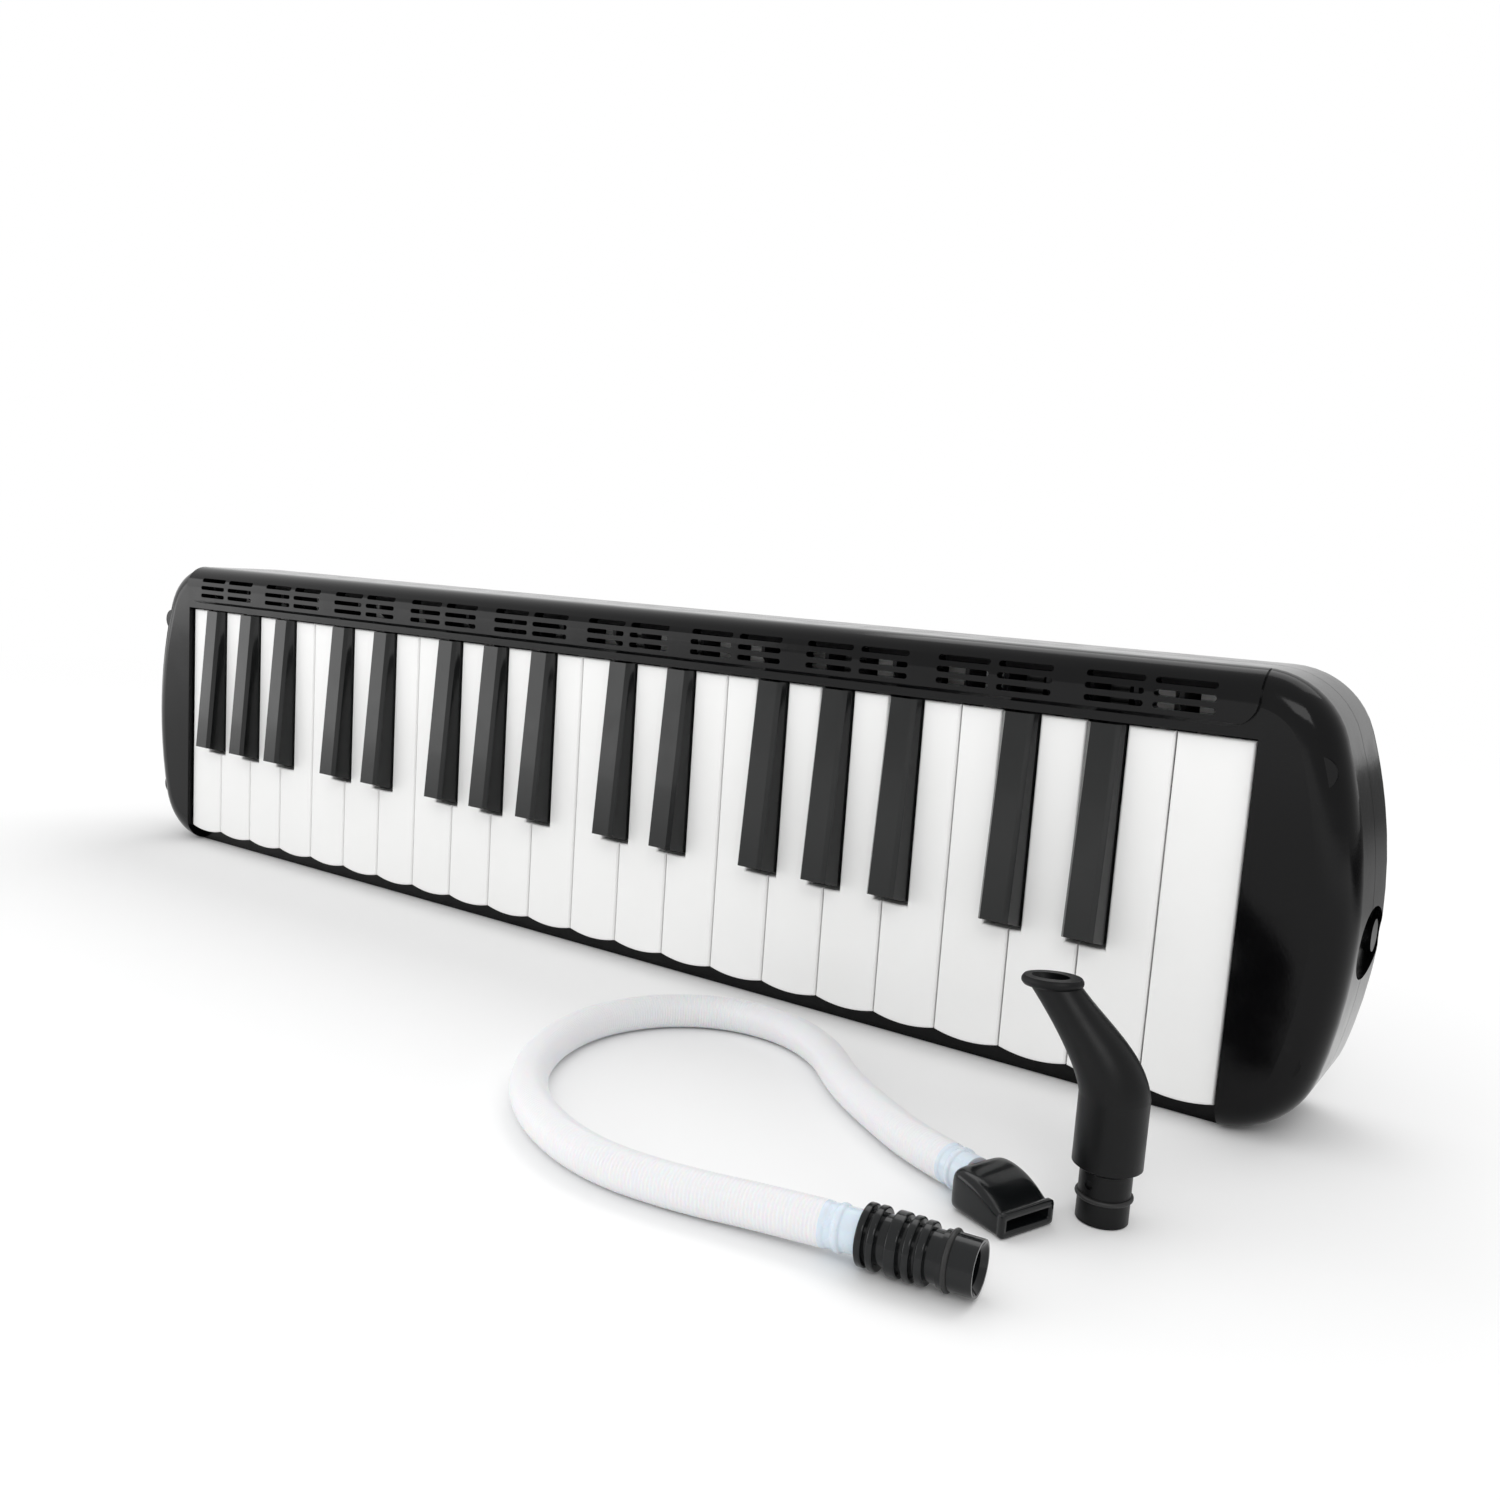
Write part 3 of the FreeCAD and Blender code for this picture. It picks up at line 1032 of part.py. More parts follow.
def hose_mouthpiece():
    """A beak: a deep back end that the hose enters, thinning to a slotted lip with a rim."""
    end = V(*HOSE_ROUTE[-1])
    before = V(*HOSE_ROUTE[-2])
    angle = math.degrees(math.atan2(end.y - before.y, end.x - before.x))

    def section(s, width, height, corner):
        """A bevelled rectangle across the beak, standing on the ground."""
        w = width / 2
        pts = [(-w, 0), (w, 0), (w, height - corner), (w - corner, height),
               (-w + corner, height), (-w, height - corner)]
        return Part.makePolygon([V(s, u, v) for u, v in pts + pts[:1]])

    # place along the beak, width, height and bevel
    stations = ((0.0, BEAK_BACK_WIDTH - 2.4, BEAK_BACK_HEIGHT - 0.3, 0.9),
                (2.2, BEAK_BACK_WIDTH, BEAK_BACK_HEIGHT, 0.9),
                (6.5, BEAK_BACK_WIDTH + 0.9, BEAK_BACK_HEIGHT - 0.7, 0.8),
                (10.5, BEAK_FRONT_WIDTH - 0.5, BEAK_FRONT_HEIGHT + 1.4, 0.6),
                (BEAK_LENGTH - 1.2, BEAK_FRONT_WIDTH - 0.6, BEAK_FRONT_HEIGHT - 0.4, 0.4))
    body = Part.makeLoft([section(*station) for station in stations], True, True)
    half = BEAK_FRONT_WIDTH / 2
    rim = box(BEAK_LENGTH - BEAK_RIM, BEAK_LENGTH, -half, half, 0, BEAK_FRONT_HEIGHT)
    slot_w, slot_h = BEAK_SLOT
    middle = BEAK_FRONT_HEIGHT / 2
    slot = box(BEAK_SLOT_START, BEAK_LENGTH + 1, -slot_w / 2, slot_w / 2,
               middle - slot_h / 2, middle + slot_h / 2)
    inlet = rod_x(BEAK_INLET_R, BEAK_SLOT_START / 2, 2 * BEAK_SLOT_START, 0, end.z)
    beak = cut_all(body.fuse(rim), [slot, inlet])
    beak.rotate(V(0, 0, 0), Z_AXIS, angle)
    beak.translate(V(end.x, end.y, 0))
    return beak


# ---------------------------------------------------------------- output
PIECES = (front_shell, back_shell, case_screws, key_frame, hinge_shaft, key_springs, key_felts,
          valve_board, reed_plates, reeds, chest_gasket, wind_chest, blow_socket,
          drain_button, drain_spring, hand_strap, strap_anchors,
          short_mouthpiece, short_mouthpiece_oring,
          hose, hose_connector, hose_connector_oring, hose_mouthpiece)

os.makedirs("parts", exist_ok=True)
for make in PIECES:
    save(make.__name__, make())
for number in range(KEY_COUNT):
    save(key_name(number), white_key(number) if is_white(number) else black_key(number))
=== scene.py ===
"""The looks of the melodica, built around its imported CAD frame. Metres, in the CAD's own frame."""
import json
import math
import bmesh
import bpy
from mathutils import Euler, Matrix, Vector


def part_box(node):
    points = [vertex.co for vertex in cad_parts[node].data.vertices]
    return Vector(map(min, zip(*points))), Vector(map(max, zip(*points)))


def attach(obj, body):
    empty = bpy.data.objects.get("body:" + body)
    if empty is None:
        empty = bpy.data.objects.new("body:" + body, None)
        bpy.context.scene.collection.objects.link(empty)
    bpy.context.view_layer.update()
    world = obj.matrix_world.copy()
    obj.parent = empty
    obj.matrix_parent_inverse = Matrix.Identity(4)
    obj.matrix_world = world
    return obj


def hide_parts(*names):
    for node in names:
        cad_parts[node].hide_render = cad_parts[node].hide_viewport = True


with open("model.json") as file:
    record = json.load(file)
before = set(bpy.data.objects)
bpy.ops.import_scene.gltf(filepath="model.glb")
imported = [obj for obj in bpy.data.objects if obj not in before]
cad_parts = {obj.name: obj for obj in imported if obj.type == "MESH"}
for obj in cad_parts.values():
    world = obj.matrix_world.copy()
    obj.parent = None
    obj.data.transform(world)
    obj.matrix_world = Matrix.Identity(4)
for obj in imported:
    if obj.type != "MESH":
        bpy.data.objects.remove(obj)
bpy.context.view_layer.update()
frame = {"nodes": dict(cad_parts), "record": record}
NODES = frame["nodes"]
RECORD = frame["record"]
MM = 0.001
SCENE = bpy.context.scene

# ---------------------------------------------------------------- camera
CAMERA_PLACE = (0.29155, -0.35189, 0.13126)
CAMERA_TURN = (82.11, -3.825, 34.56)       # degrees, XYZ order
CAMERA_LENS = 32.25                        # on a 36 mm wide sensor


def add_camera():
    data = bpy.data.cameras.new("camera")
    data.sensor_width = 36.0
    data.lens = CAMERA_LENS
    data.clip_start = 0.01
    camera = bpy.data.objects.new("camera", data)
    camera.location = CAMERA_PLACE
    camera.rotation_euler = Euler([math.radians(a) for a in CAMERA_TURN], "XYZ")
    SCENE.collection.objects.link(camera)
    SCENE.camera = camera


# ---------------------------------------------------------------- materials
NOISE_LOW = 0.3               # between these two a noise does most of its work
NOISE_HIGH = 0.7
DRIFT_SCALE = 38.0            # slow colour drift of a moulded surface, features per metre
PATCH_SCALE = 120.0           # its patches of different gloss
GRAIN_STRENGTH = 0.35
BRUSH_SCALE = 900.0           # fine lines on metal
BRUSH_STRENGTH = 0.2
BRUSH_DEPTH = 0.00002
WEAVE_PITCH = 0.0011          # metres from rib to rib
WAVE_PER_PITCH = 3.2          # the wave texture's own scale of one band
WEAVE_WANDER = 0.6            # how far the ribs stray from straight
WEAVE_DETAIL = 3.0
WEAVE_STRENGTH = 0.6
WEAVE_DEPTH_SHARE = 0.25      # of the pitch
FUZZ_SCALE = 700.0
FELT_SCALE = 2600.0
FELT_STRENGTH = 0.8
FELT_DEPTH = 0.0003
ALONG_X = (0.05, 1, 1)        # lines drawn out along one direction
ALONG_Z = (1, 1, 0.05)
EVEN = (1, 1, 1)
EDGE_WIDTHS = {"key_black": 0.7, "case_black": 0.3, "connector_black": 0.25}   # millimetres
EDGE_SEGMENTS = 3
EDGE_ANGLE = 28               # degrees; flatter edges stay as they are


def new_material(name):
    material = bpy.data.materials.new(name)
    material.use_nodes = True
    tree = material.node_tree
    shader = tree.nodes["Principled BSDF"]
    return material, tree, shader


def noise(tree, scale, detail=3.0, stretch=(1, 1, 1)):
    """A noise texture in object space; scale is in features per metre."""
    place = tree.nodes.new("ShaderNodeTexCoord")
    mapping = tree.nodes.new("ShaderNodeMapping")
    mapping.inputs["Scale"].default_value = stretch
    texture = tree.nodes.new("ShaderNodeTexNoise")
    texture.inputs["Scale"].default_value = scale
    texture.inputs["Detail"].default_value = detail
    tree.links.new(place.outputs["Object"], mapping.inputs["Vector"])
    tree.links.new(mapping.outputs["Vector"], texture.inputs["Vector"])
    return texture.outputs["Fac"]


def ranged(tree, value, low, high):
    """Spread the middle of a noise between two values."""
    node = tree.nodes.new("ShaderNodeMapRange")
    node.inputs["From Min"].default_value = NOISE_LOW
    node.inputs["From Max"].default_value = NOISE_HIGH
    node.inputs["To Min"].default_value = low
    node.inputs["To Max"].default_value = high
    tree.links.new(value, node.inputs["Value"])
    return node.outputs["Result"]


def mixed(tree, factor, dark, light):
    node = tree.nodes.new("ShaderNodeMix")
    node.data_type = "RGBA"
    node.inputs["A"].default_value = (*dark, 1)
    node.inputs["B"].default_value = (*light, 1)
    tree.links.new(factor, node.inputs["Factor"])
    return node.outputs["Result"]


def bump(tree, shader, height, strength, distance):
    node = tree.nodes.new("ShaderNodeBump")
    node.inputs["Strength"].default_value = strength
    node.inputs["Distance"].default_value = distance
    tree.links.new(height, node.inputs["Height"])
    tree.links.new(node.outputs["Normal"], shader.inputs["Normal"])


def moulded(name, dark, light, rough, grain, grain_depth, sockets):
    """A moulded or rolled surface: slow colour drift, patchy roughness and a fine grain."""
    material, tree, shader = new_material(name)
    drift = noise(tree, DRIFT_SCALE, 4.0)
    tree.links.new(mixed(tree, drift, dark, light), shader.inputs["Base Color"])
    patches = noise(tree, PATCH_SCALE, 6.0)
    tree.links.new(ranged(tree, patches, rough[0], rough[1]), shader.inputs["Roughness"])
    bump(tree, shader, noise(tree, grain, 2.0), GRAIN_STRENGTH, grain_depth)
    for socket, value in sockets.items():
        shader.inputs[socket].default_value = value
    return material


def brushed(name, dark, light, rough, stretch):
    """Metal with fine lines along one direction."""
    material, tree, shader = new_material(name)
    lines = noise(tree, BRUSH_SCALE, 3.0, stretch)
    tree.links.new(mixed(tree, lines, dark, light), shader.inputs["Base Color"])
    tree.links.new(ranged(tree, lines, rough[0], rough[1]), shader.inputs["Roughness"])
    bump(tree, shader, lines, BRUSH_STRENGTH, BRUSH_DEPTH)
    shader.inputs["Metallic"].default_value = 1.0
    return material


def woven(name, dark, light, pitch):
    """Webbing: two crossed sets of ribs, with a soft sheen."""
    material, tree, shader = new_material(name)
    place = tree.nodes.new("ShaderNodeTexCoord")
    waves = []
    for direction in ("X", "Z"):
        wave = tree.nodes.new("ShaderNodeTexWave")
        wave.wave_type = "BANDS"
        wave.bands_direction = direction
        wave.inputs["Scale"].default_value = 1 / pitch / WAVE_PER_PITCH
        wave.inputs["Distortion"].default_value = WEAVE_WANDER
        wave.inputs["Detail Scale"].default_value = WEAVE_DETAIL
        tree.links.new(place.outputs["Object"], wave.inputs["Vector"])
        waves.append(wave.outputs["Fac"])
    both = tree.nodes.new("ShaderNodeMath")
    both.operation = "MAXIMUM"
    tree.links.new(waves[0], both.inputs[0])
    tree.links.new(waves[1], both.inputs[1])
    tree.links.new(mixed(tree, both.outputs[0], dark, light), shader.inputs["Base Color"])
    tree.links.new(ranged(tree, noise(tree, FUZZ_SCALE), 0.75, 0.95), shader.inputs["Roughness"])
    bump(tree, shader, both.outputs[0], WEAVE_STRENGTH, pitch * WEAVE_DEPTH_SHARE)
    shader.inputs["Sheen Weight"].default_value = 0.35
    return material


def felt():
    material, tree, shader = new_material("felt")
    fibres = noise(tree, FELT_SCALE, 8.0)
    red = mixed(tree, fibres, (0.2, 0.01, 0.015), (0.5, 0.05, 0.06))
    tree.links.new(red, shader.inputs["Base Color"])
    tree.links.new(ranged(tree, fibres, 0.85, 1.0), shader.inputs["Roughness"])
    bump(tree, shader, fibres, FELT_STRENGTH, FELT_DEPTH)
    shader.inputs["Sheen Weight"].default_value = 0.5
    return material


def make_materials():
    gloss = {"IOR": 1.36, "Coat Weight": 0.12, "Coat Roughness": 0.05}
    return {
        "case_black": moulded("case_black", (0.0015, 0.0015, 0.0017), (0.0025, 0.0025, 0.0028),
                              (0.1, 0.17), 900.0, 0.00002, {"IOR": 1.27}),
        "key_white": moulded("key_white", (0.82, 0.82, 0.81), (0.87, 0.87, 0.865),
                             (0.28, 0.38), 1500.0, 0.00002, {"IOR": 1.46}),
        "key_black": moulded("key_black", (0.004, 0.0045, 0.0045), (0.007, 0.0076, 0.0076),
                             (0.16, 0.24), 1500.0, 0.00002, gloss),
        "inner_plastic": moulded("inner_plastic", (0.02, 0.02, 0.022), (0.035, 0.035, 0.038),
                                 (0.5, 0.65), 2200.0, 0.00005, {}),
        "steel": brushed("steel", (0.5, 0.5, 0.52), (0.65, 0.65, 0.67), (0.15, 0.3), ALONG_X),
        "spring_steel": brushed("spring_steel", (0.4, 0.4, 0.42), (0.55, 0.55, 0.57),
                                (0.2, 0.35), ALONG_Z),
        "felt": felt(),
        "reed_plate_metal": brushed("reed_plate_metal", (0.6, 0.6, 0.62), (0.75, 0.75, 0.77),
                                    (0.3, 0.45), ALONG_X),
        "reed_brass": brushed("reed_brass", (0.6, 0.4, 0.14), (0.8, 0.58, 0.25),
                              (0.15, 0.3), ALONG_Z),
        "gasket_rubber": moulded("gasket_rubber", (0.05, 0.05, 0.05), (0.08, 0.08, 0.08),
                                 (0.75, 0.9), 3000.0, 0.0001, {}),
        "screw_steel": brushed("screw_steel", (0.04, 0.04, 0.042), (0.09, 0.09, 0.095),
                               (0.3, 0.45), EVEN),
        "strap_webbing": woven("strap_webbing", (0.004, 0.004, 0.005), (0.02, 0.02, 0.022),
                               WEAVE_PITCH),
        "mouthpiece_black": moulded("mouthpiece_black", (0.002, 0.0022, 0.0024), (0.004, 0.0042, 0.0045),
                                    (0.34, 0.44), 2600.0, 0.00005, {"IOR": 1.3}),
        "connector_black": moulded("connector_black", (0.003, 0.0036, 0.004), (0.005, 0.006, 0.0066),
                                   (0.14, 0.24), 1200.0, 0.00003, gloss),
        "oring_rubber": moulded("oring_rubber", (0.006, 0.006, 0.006), (0.012, 0.012, 0.012),
                                (0.4, 0.55), 3000.0, 0.00003, {}),
        "thread": moulded("thread", (0.03, 0.03, 0.032), (0.06, 0.06, 0.064),
                          (0.6, 0.8), 3000.0, 0.00004, {"Sheen Weight": 0.2}),
        "hose_white": moulded("hose_white", (0.76, 0.77, 0.79), (0.82, 0.825, 0.84),
                              (0.3, 0.42), 1500.0, 0.00003,
                              {"Subsurface Weight": 0.4, "Subsurface Scale": 0.003}),
        "cuff_blue": moulded("cuff_blue", (0.62, 0.71, 0.79), (0.7, 0.78, 0.85),
                             (0.22, 0.32), 1500.0, 0.00002,
                             {"Subsurface Weight": 0.3, "Subsurface Scale": 0.003}),
    }


def dress_cad_nodes(materials):
    """Every CAD node takes its slot's material, and some slots get softened edges."""
    for part in RECORD["subparts"]:
        node = NODES[part["node"]]
        slot = part["material_slot"]
        node.data.materials.clear()
        node.data.materials.append(materials[slot])
        if slot in EDGE_WIDTHS:
            bevel = node.modifiers.new("soft_edges", "BEVEL")
            bevel.width = EDGE_WIDTHS[slot] * MM
            bevel.segments = EDGE_SEGMENTS
            bevel.limit_method = "ANGLE"
            bevel.angle_limit = math.radians(EDGE_ANGLE)
            bevel.use_clamp_overlap = True
            bevel.harden_normals = False


# ---------------------------------------------------------------- hose
# The route of the hose, from the connector to the mouthpiece, in millimetres
HOSE_ROUTE = (
    (179.5, -135.8, 6.3), (160.0, -138.2, 5.4), (140.5, -142.4, 4.7), (120.5, -144.4, 4.65),
    (101.5, -139.5, 4.65), (84.5, -129.0, 4.65), (71.5, -113.5, 4.65), (63.5, -94.5, 4.65),
    (62.5, -75.5, 4.65), (70.0, -58.0, 4.65), (84.5, -47.0, 4.65), (103.0, -45.5, 4.65),
    (120.5, -53.5, 4.65), (135.5, -69.0, 4.65), (150.5, -79.5, 4.65), (167.5, -90.3, 4.9),
    (184.4, -96.5, 5.3),
)
HOSE_R = 4.5 * MM
RIB_PITCH = 0.85 * MM
RIB_DEPTH = 0.13 * MM
CUFF_LENGTH = 8.0 * MM
CUFF_R = 4.35 * MM
# The two rings of a cuff: distance from the hose's end, half width and height
CUFF_RINGS = ((4.6 * MM, 0.8 * MM, 0.42 * MM), (7.9 * MM, 0.9 * MM, 0.25 * MM))
STEPS_PER_RIB = 5
RING_POINTS = 40


def hose_line():
    """The smooth line of the hose, read from its NURBS spline."""
    data = bpy.data.curves.new("hose_line", "CURVE")
    data.dimensions = "3D"
    data.resolution_u = 24
    spline = data.splines.new("NURBS")
    spline.points.add(len(HOSE_ROUTE) - 1)
    for point, place in zip(spline.points, HOSE_ROUTE):
        point.co = (*[c * MM for c in place], 1)
    spline.order_u = 3
    spline.use_endpoint_u = True
    line = bpy.data.objects.new("hose_line", data)
    mesh = bpy.data.meshes.new_from_object(line)
    points = [v.co.copy() for v in mesh.vertices]
    bpy.data.objects.remove(line)
    return points


def walk(points, step):
    """Places and directions at even steps along a line."""
    lengths = [0.0]
    for a, b in zip(points, points[1:]):
        lengths.append(lengths[-1] + (b - a).length)
    total = lengths[-1]
    count = int(total / step)
    stops = []
    k = 0
    for i in range(count + 1):
        s = total * i / count
        while k < len(points) - 2 and lengths[k + 1] < s:
            k += 1
        share = (s - lengths[k]) / (lengths[k + 1] - lengths[k])
        stops.append((s, points[k].lerp(points[k + 1], share)))
    ahead = [(stops[min(i + 1, count)][1] - stops[max(i - 1, 0)][1]).normalized()
             for i in range(count + 1)]
    return [(s, p, d) for (s, p), d in zip(stops, ahead)], total


def bead(s, centre, half, height):
    """A half-round ring's height at a place along the hose."""
    off = abs(s - centre) / half
    return height * math.sqrt(1 - off * off) if off < 1 else 0.0


def hose_radius(s, total):
    """The cuffs, their rings, and the ribbed stretch between them."""
    near = min(s, total - s)
    if near < CUFF_LENGTH:
        radius = CUFF_R
        for centre, half, height in CUFF_RINGS:
            radius += bead(near, centre, half, height)
        return radius
    rib = 0.5 + 0.5 * math.cos(2 * math.pi * (s - CUFF_LENGTH) / RIB_PITCH)
    return HOSE_R + RIB_DEPTH * rib


def make_hose(materials, beak):
    stops, total = walk(hose_line(), RIB_PITCH / STEPS_PER_RIB)
    bm = bmesh.new()
    rings = []
    side = Vector((0, 0, 1))
    for s, place, ahead in stops:
        up = (side - ahead * side.dot(ahead)).normalized()
        across = ahead.cross(up)
        radius = hose_radius(s, total)
        rings.append([bm.verts.new(place + (up * math.cos(a) + across * math.sin(a)) * radius)
                      for a in (2 * math.pi * i / RING_POINTS for i in range(RING_POINTS))])
    for k, (a, b) in enumerate(zip(rings, rings[1:])):
        near = min(stops[k][0], total - stops[k][0])
        for i in range(RING_POINTS):
            j = (i + 1) % RING_POINTS
            face = bm.faces.new((a[i], a[j], b[j], b[i]))
            face.material_index = 1 if near < CUFF_LENGTH else 0
            face.smooth = True
    for ring in (rings[0][::-1], rings[-1]):
        bm.faces.new(ring).material_index = 1
    bmesh.ops.recalc_face_normals(bm, faces=bm.faces)
    mesh = bpy.data.meshes.new("hose_tube")
    bm.to_mesh(mesh)
    bm.free()
    mesh.materials.append(materials["hose_white"])
    mesh.materials.append(materials["cuff_blue"])
    tube = bpy.data.objects.new("hose_tube", mesh)
    SCENE.collection.objects.link(tube)
    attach(tube, "hose_set")
    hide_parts("hose")


# ---------------------------------------------------------------- shared mesh helpers
def superellipse(half_a, half_b, power, count):
    """A rounded rectangle's outline, from soft (power 2) to nearly square."""
    points = []
    for i in range(count):
        angle = 2 * math.pi * (i + 0.5) / count
        c, s = math.cos(angle), math.sin(angle)
        points.append((math.copysign(abs(c) ** (2 / power), c) * half_a,
                       math.copysign(abs(s) ** (2 / power), s) * half_b))
    return points


def skin(rings):
    """Quads between consecutive rings of equal length, with both ends closed."""
    bm = bmesh.new()
    made = [[bm.verts.new(p) for p in ring] for ring in rings]
    count = len(made[0])
    for a, b in zip(made, made[1:]):
        for i in range(count):
            j = (i + 1) % count
            bm.faces.new((a[i], a[j], b[j], b[i]))
    bm.faces.new(made[0][::-1])
    bm.faces.new(made[-1])
    bmesh.ops.recalc_face_normals(bm, faces=bm.faces)
    for face in bm.faces:
        face.smooth = len(face.verts) == 4
    return bm


def add_piece(name, bm, material, body):
    mesh = bpy.data.meshes.new(name)
    bm.to_mesh(mesh)
    bm.free()
    mesh.materials.append(material)
    piece = bpy.data.objects.new(name, mesh)
    SCENE.collection.objects.link(piece)
    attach(piece, body)
    return piece


# ---------------------------------------------------------------- beak mouthpiece
# Along the beak, in millimetres: place, width, height and the squareness of the section
BEAK_SECTIONS = ((0.0, 13.0, 8.2, 5.5), (0.4, 14.3, 8.9, 5.5), (1.6, 15.2, 9.3, 5.5),
                 (3.6, 15.6, 9.3, 5.5), (6.0, 15.7, 8.9, 5.5), (8.4, 15.6, 8.0, 6.0),
                 (10.6, 15.4, 6.8, 6.5), (12.4, 15.1, 5.6, 7.0), (13.7, 14.7, 4.9, 8.0))
BEAK_RIM = ((13.9, 14.9, 5.1, 10.0), (14.1, 15.2, 5.4, 12.0), (15.1, 15.2, 5.4, 12.0),
            (15.4, 14.8, 5.0, 12.0))
BEAK_SLOT = ((15.4, 12.8, 2.6, 14.0), (15.0, 12.4, 2.2, 14.0), (6.0, 11.8, 2.0, 14.0))
BEAK_FRONT_MIDDLE = 2.7
BEAK_POINTS = 96
BEAK_STEPS = 4                # stations between two sections


def smooth_sections(sections, steps):
    """Catmull-Rom stations between given ones."""
    fine = []
    last = len(sections) - 1
    for k in range(last):
        before, a = sections[max(k - 1, 0)], sections[k]
        b, after = sections[k + 1], sections[min(k + 2, last)]
        for i in range(steps):
            t = i / steps
            fine.append(tuple(0.5 * (2 * q + (r - p) * t + (2 * p - 5 * q + 4 * r - w) * t * t
                                     + (3 * q - p - 3 * r + w) * t ** 3)
                              for p, q, r, w in zip(before, a, b, after)))
    return fine + [sections[last]]


def make_beak(materials):
    """A smooth glossy beak on the hose's far end, with a rimmed slot."""
    end = Vector(HOSE_ROUTE[-1]) * MM
    before = Vector(HOSE_ROUTE[-2]) * MM
    ahead = Vector((end.x - before.x, end.y - before.y, 0)).normalized()
    across = Vector((-ahead.y, ahead.x, 0))
    foot = Vector((end.x, end.y, 0))
    body = [(s, w, h, q, h / 2) for s, w, h, q in smooth_sections(BEAK_SECTIONS, BEAK_STEPS)]
    front = [(s, w, h, q, BEAK_FRONT_MIDDLE) for s, w, h, q in BEAK_RIM + BEAK_SLOT]
    rings = []
    for s, width, height, power, middle in body + front:
        outline = superellipse(width / 2, height / 2, power, BEAK_POINTS)
        rings.append([foot + (ahead * s + across * u + Vector((0, 0, middle + v))) * MM
                      for u, v in outline])
    beak = add_piece("beak", skin(rings), materials["connector_black"], "hose_set")
    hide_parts("hose_mouthpiece")
    return beak


# ---------------------------------------------------------------- hand strap
ANCHOR_LENGTH = 14.0 * MM     # along the case
STRAP_PLAY = 0.3 * MM         # between the strap's end and its anchor
STRAP_THICK = 2.0 * MM
STRAP_SELVEDGE = 0.25 * MM
STRAP_STEPS = 160
STITCH_LENGTH = 2.2 * MM
STITCH_R = 0.28 * MM
STITCH_STEP = 1.3             # from stitch to stitch in a sewn bar, in stitch lengths
STITCH_EVERY = 4              # places along the strap, in the long rows
STITCH_INSET = 3.2 * MM       # of the long rows from the strap's edge
BAR_INSET = 8 * MM            # of a sewn bar, both edges together
ROW_MARGIN = 24               # places left free at each end of the long rows
BAR_PLACES = (19, 23)         # of the sewn bars, counted from an end
BAR_PLACES_FAR = (24, 20)     # and from the other
TONGUE_STEPS = 10
STRAP_BORDER = 2.4 * MM       # width of the woven edge
CORNER = 0.3 * MM             # rounding of the strap's edge
SHOULDER = 0.9 * MM
BORDER_SLOPE = 0.5 * MM
EDGE_ROUNDING = 0.7           # how thick the rounded corner is, in shares of the edge
MIDDLE_STEPS = 8


def strap_line():
    """The middle of the strap's thickness: a straight tongue, an arc, a straight tongue."""
    low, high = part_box("hand_strap")
    anchor_low, anchor_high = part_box("strap_anchors")
    tongue = (high[0] - low[0] - (anchor_high[0] - anchor_low[0]) + 2 * ANCHOR_LENGTH) / 2
    x0 = low[0] + tongue
    x1 = high[0] - tongue
    y0 = low[1] + STRAP_THICK / 2
    rise = high[1] - STRAP_THICK / 2 - max(STRAP_SELVEDGE, STITCH_R) - y0
    half = (x1 - x0) / 2
    radius = (half * half + rise * rise) / (2 * rise)
    middle = (x0 + x1) / 2
    reach = math.asin(half / radius)
    points = [Vector((low[0] + STRAP_PLAY + (tongue - STRAP_PLAY) * i / TONGUE_STEPS, y0, 0))
              for i in range(TONGUE_STEPS)]
    for i in range(STRAP_STEPS + 1):
        angle = -reach + 2 * reach * i / STRAP_STEPS
        points.append(Vector((middle + radius * math.sin(angle),
                              y0 + rise - radius * (1 - math.cos(angle)), 0)))
    points += [Vector((x1 + (tongue - STRAP_PLAY) * (i + 1) / TONGUE_STEPS, y0, 0))
               for i in range(TONGUE_STEPS)]
    return points


def strap_section(half_width):
    """Across the strap: (height, thickness), with thicker woven edges."""
    half = STRAP_THICK / 2
    edge = half + STRAP_SELVEDGE
    border = half_width - STRAP_BORDER
    front = [(-half_width, 0), (-half_width + CORNER, edge * EDGE_ROUNDING),
             (-half_width + SHOULDER, edge), (-border - BORDER_SLOPE, edge), (-border, half)]
    middle = [(-border + 2 * border * i / MIDDLE_STEPS, half) for i in range(1, MIDDLE_STEPS)]
    top = front + middle + [(-z, t) for z, t in reversed(front)]
    return top + [(-z, -t) for z, t in top[1:-1]]


def make_strap(materials):
    low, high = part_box("hand_strap")
    centre_z = (low[2] + high[2]) / 2
    half_width = (high[2] - low[2]) / 2
    line = strap_line()
    section = strap_section(half_width)
    rings = []
    frames = []
    for k, place in enumerate(line):
        ahead = (line[min(k + 1, len(line) - 1)] - line[max(k - 1, 0)]).normalized()
        out = Vector((-ahead.y, ahead.x, 0))
        frames.append((place, ahead, out))
        rings.append([place + out * t + Vector((0, 0, centre_z + z)) for z, t in section])
    strap = add_piece("strap_webbing", skin(rings), materials["strap_webbing"], "case")
    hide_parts("hand_strap")
    make_stitches(materials, frames, centre_z, half_width)


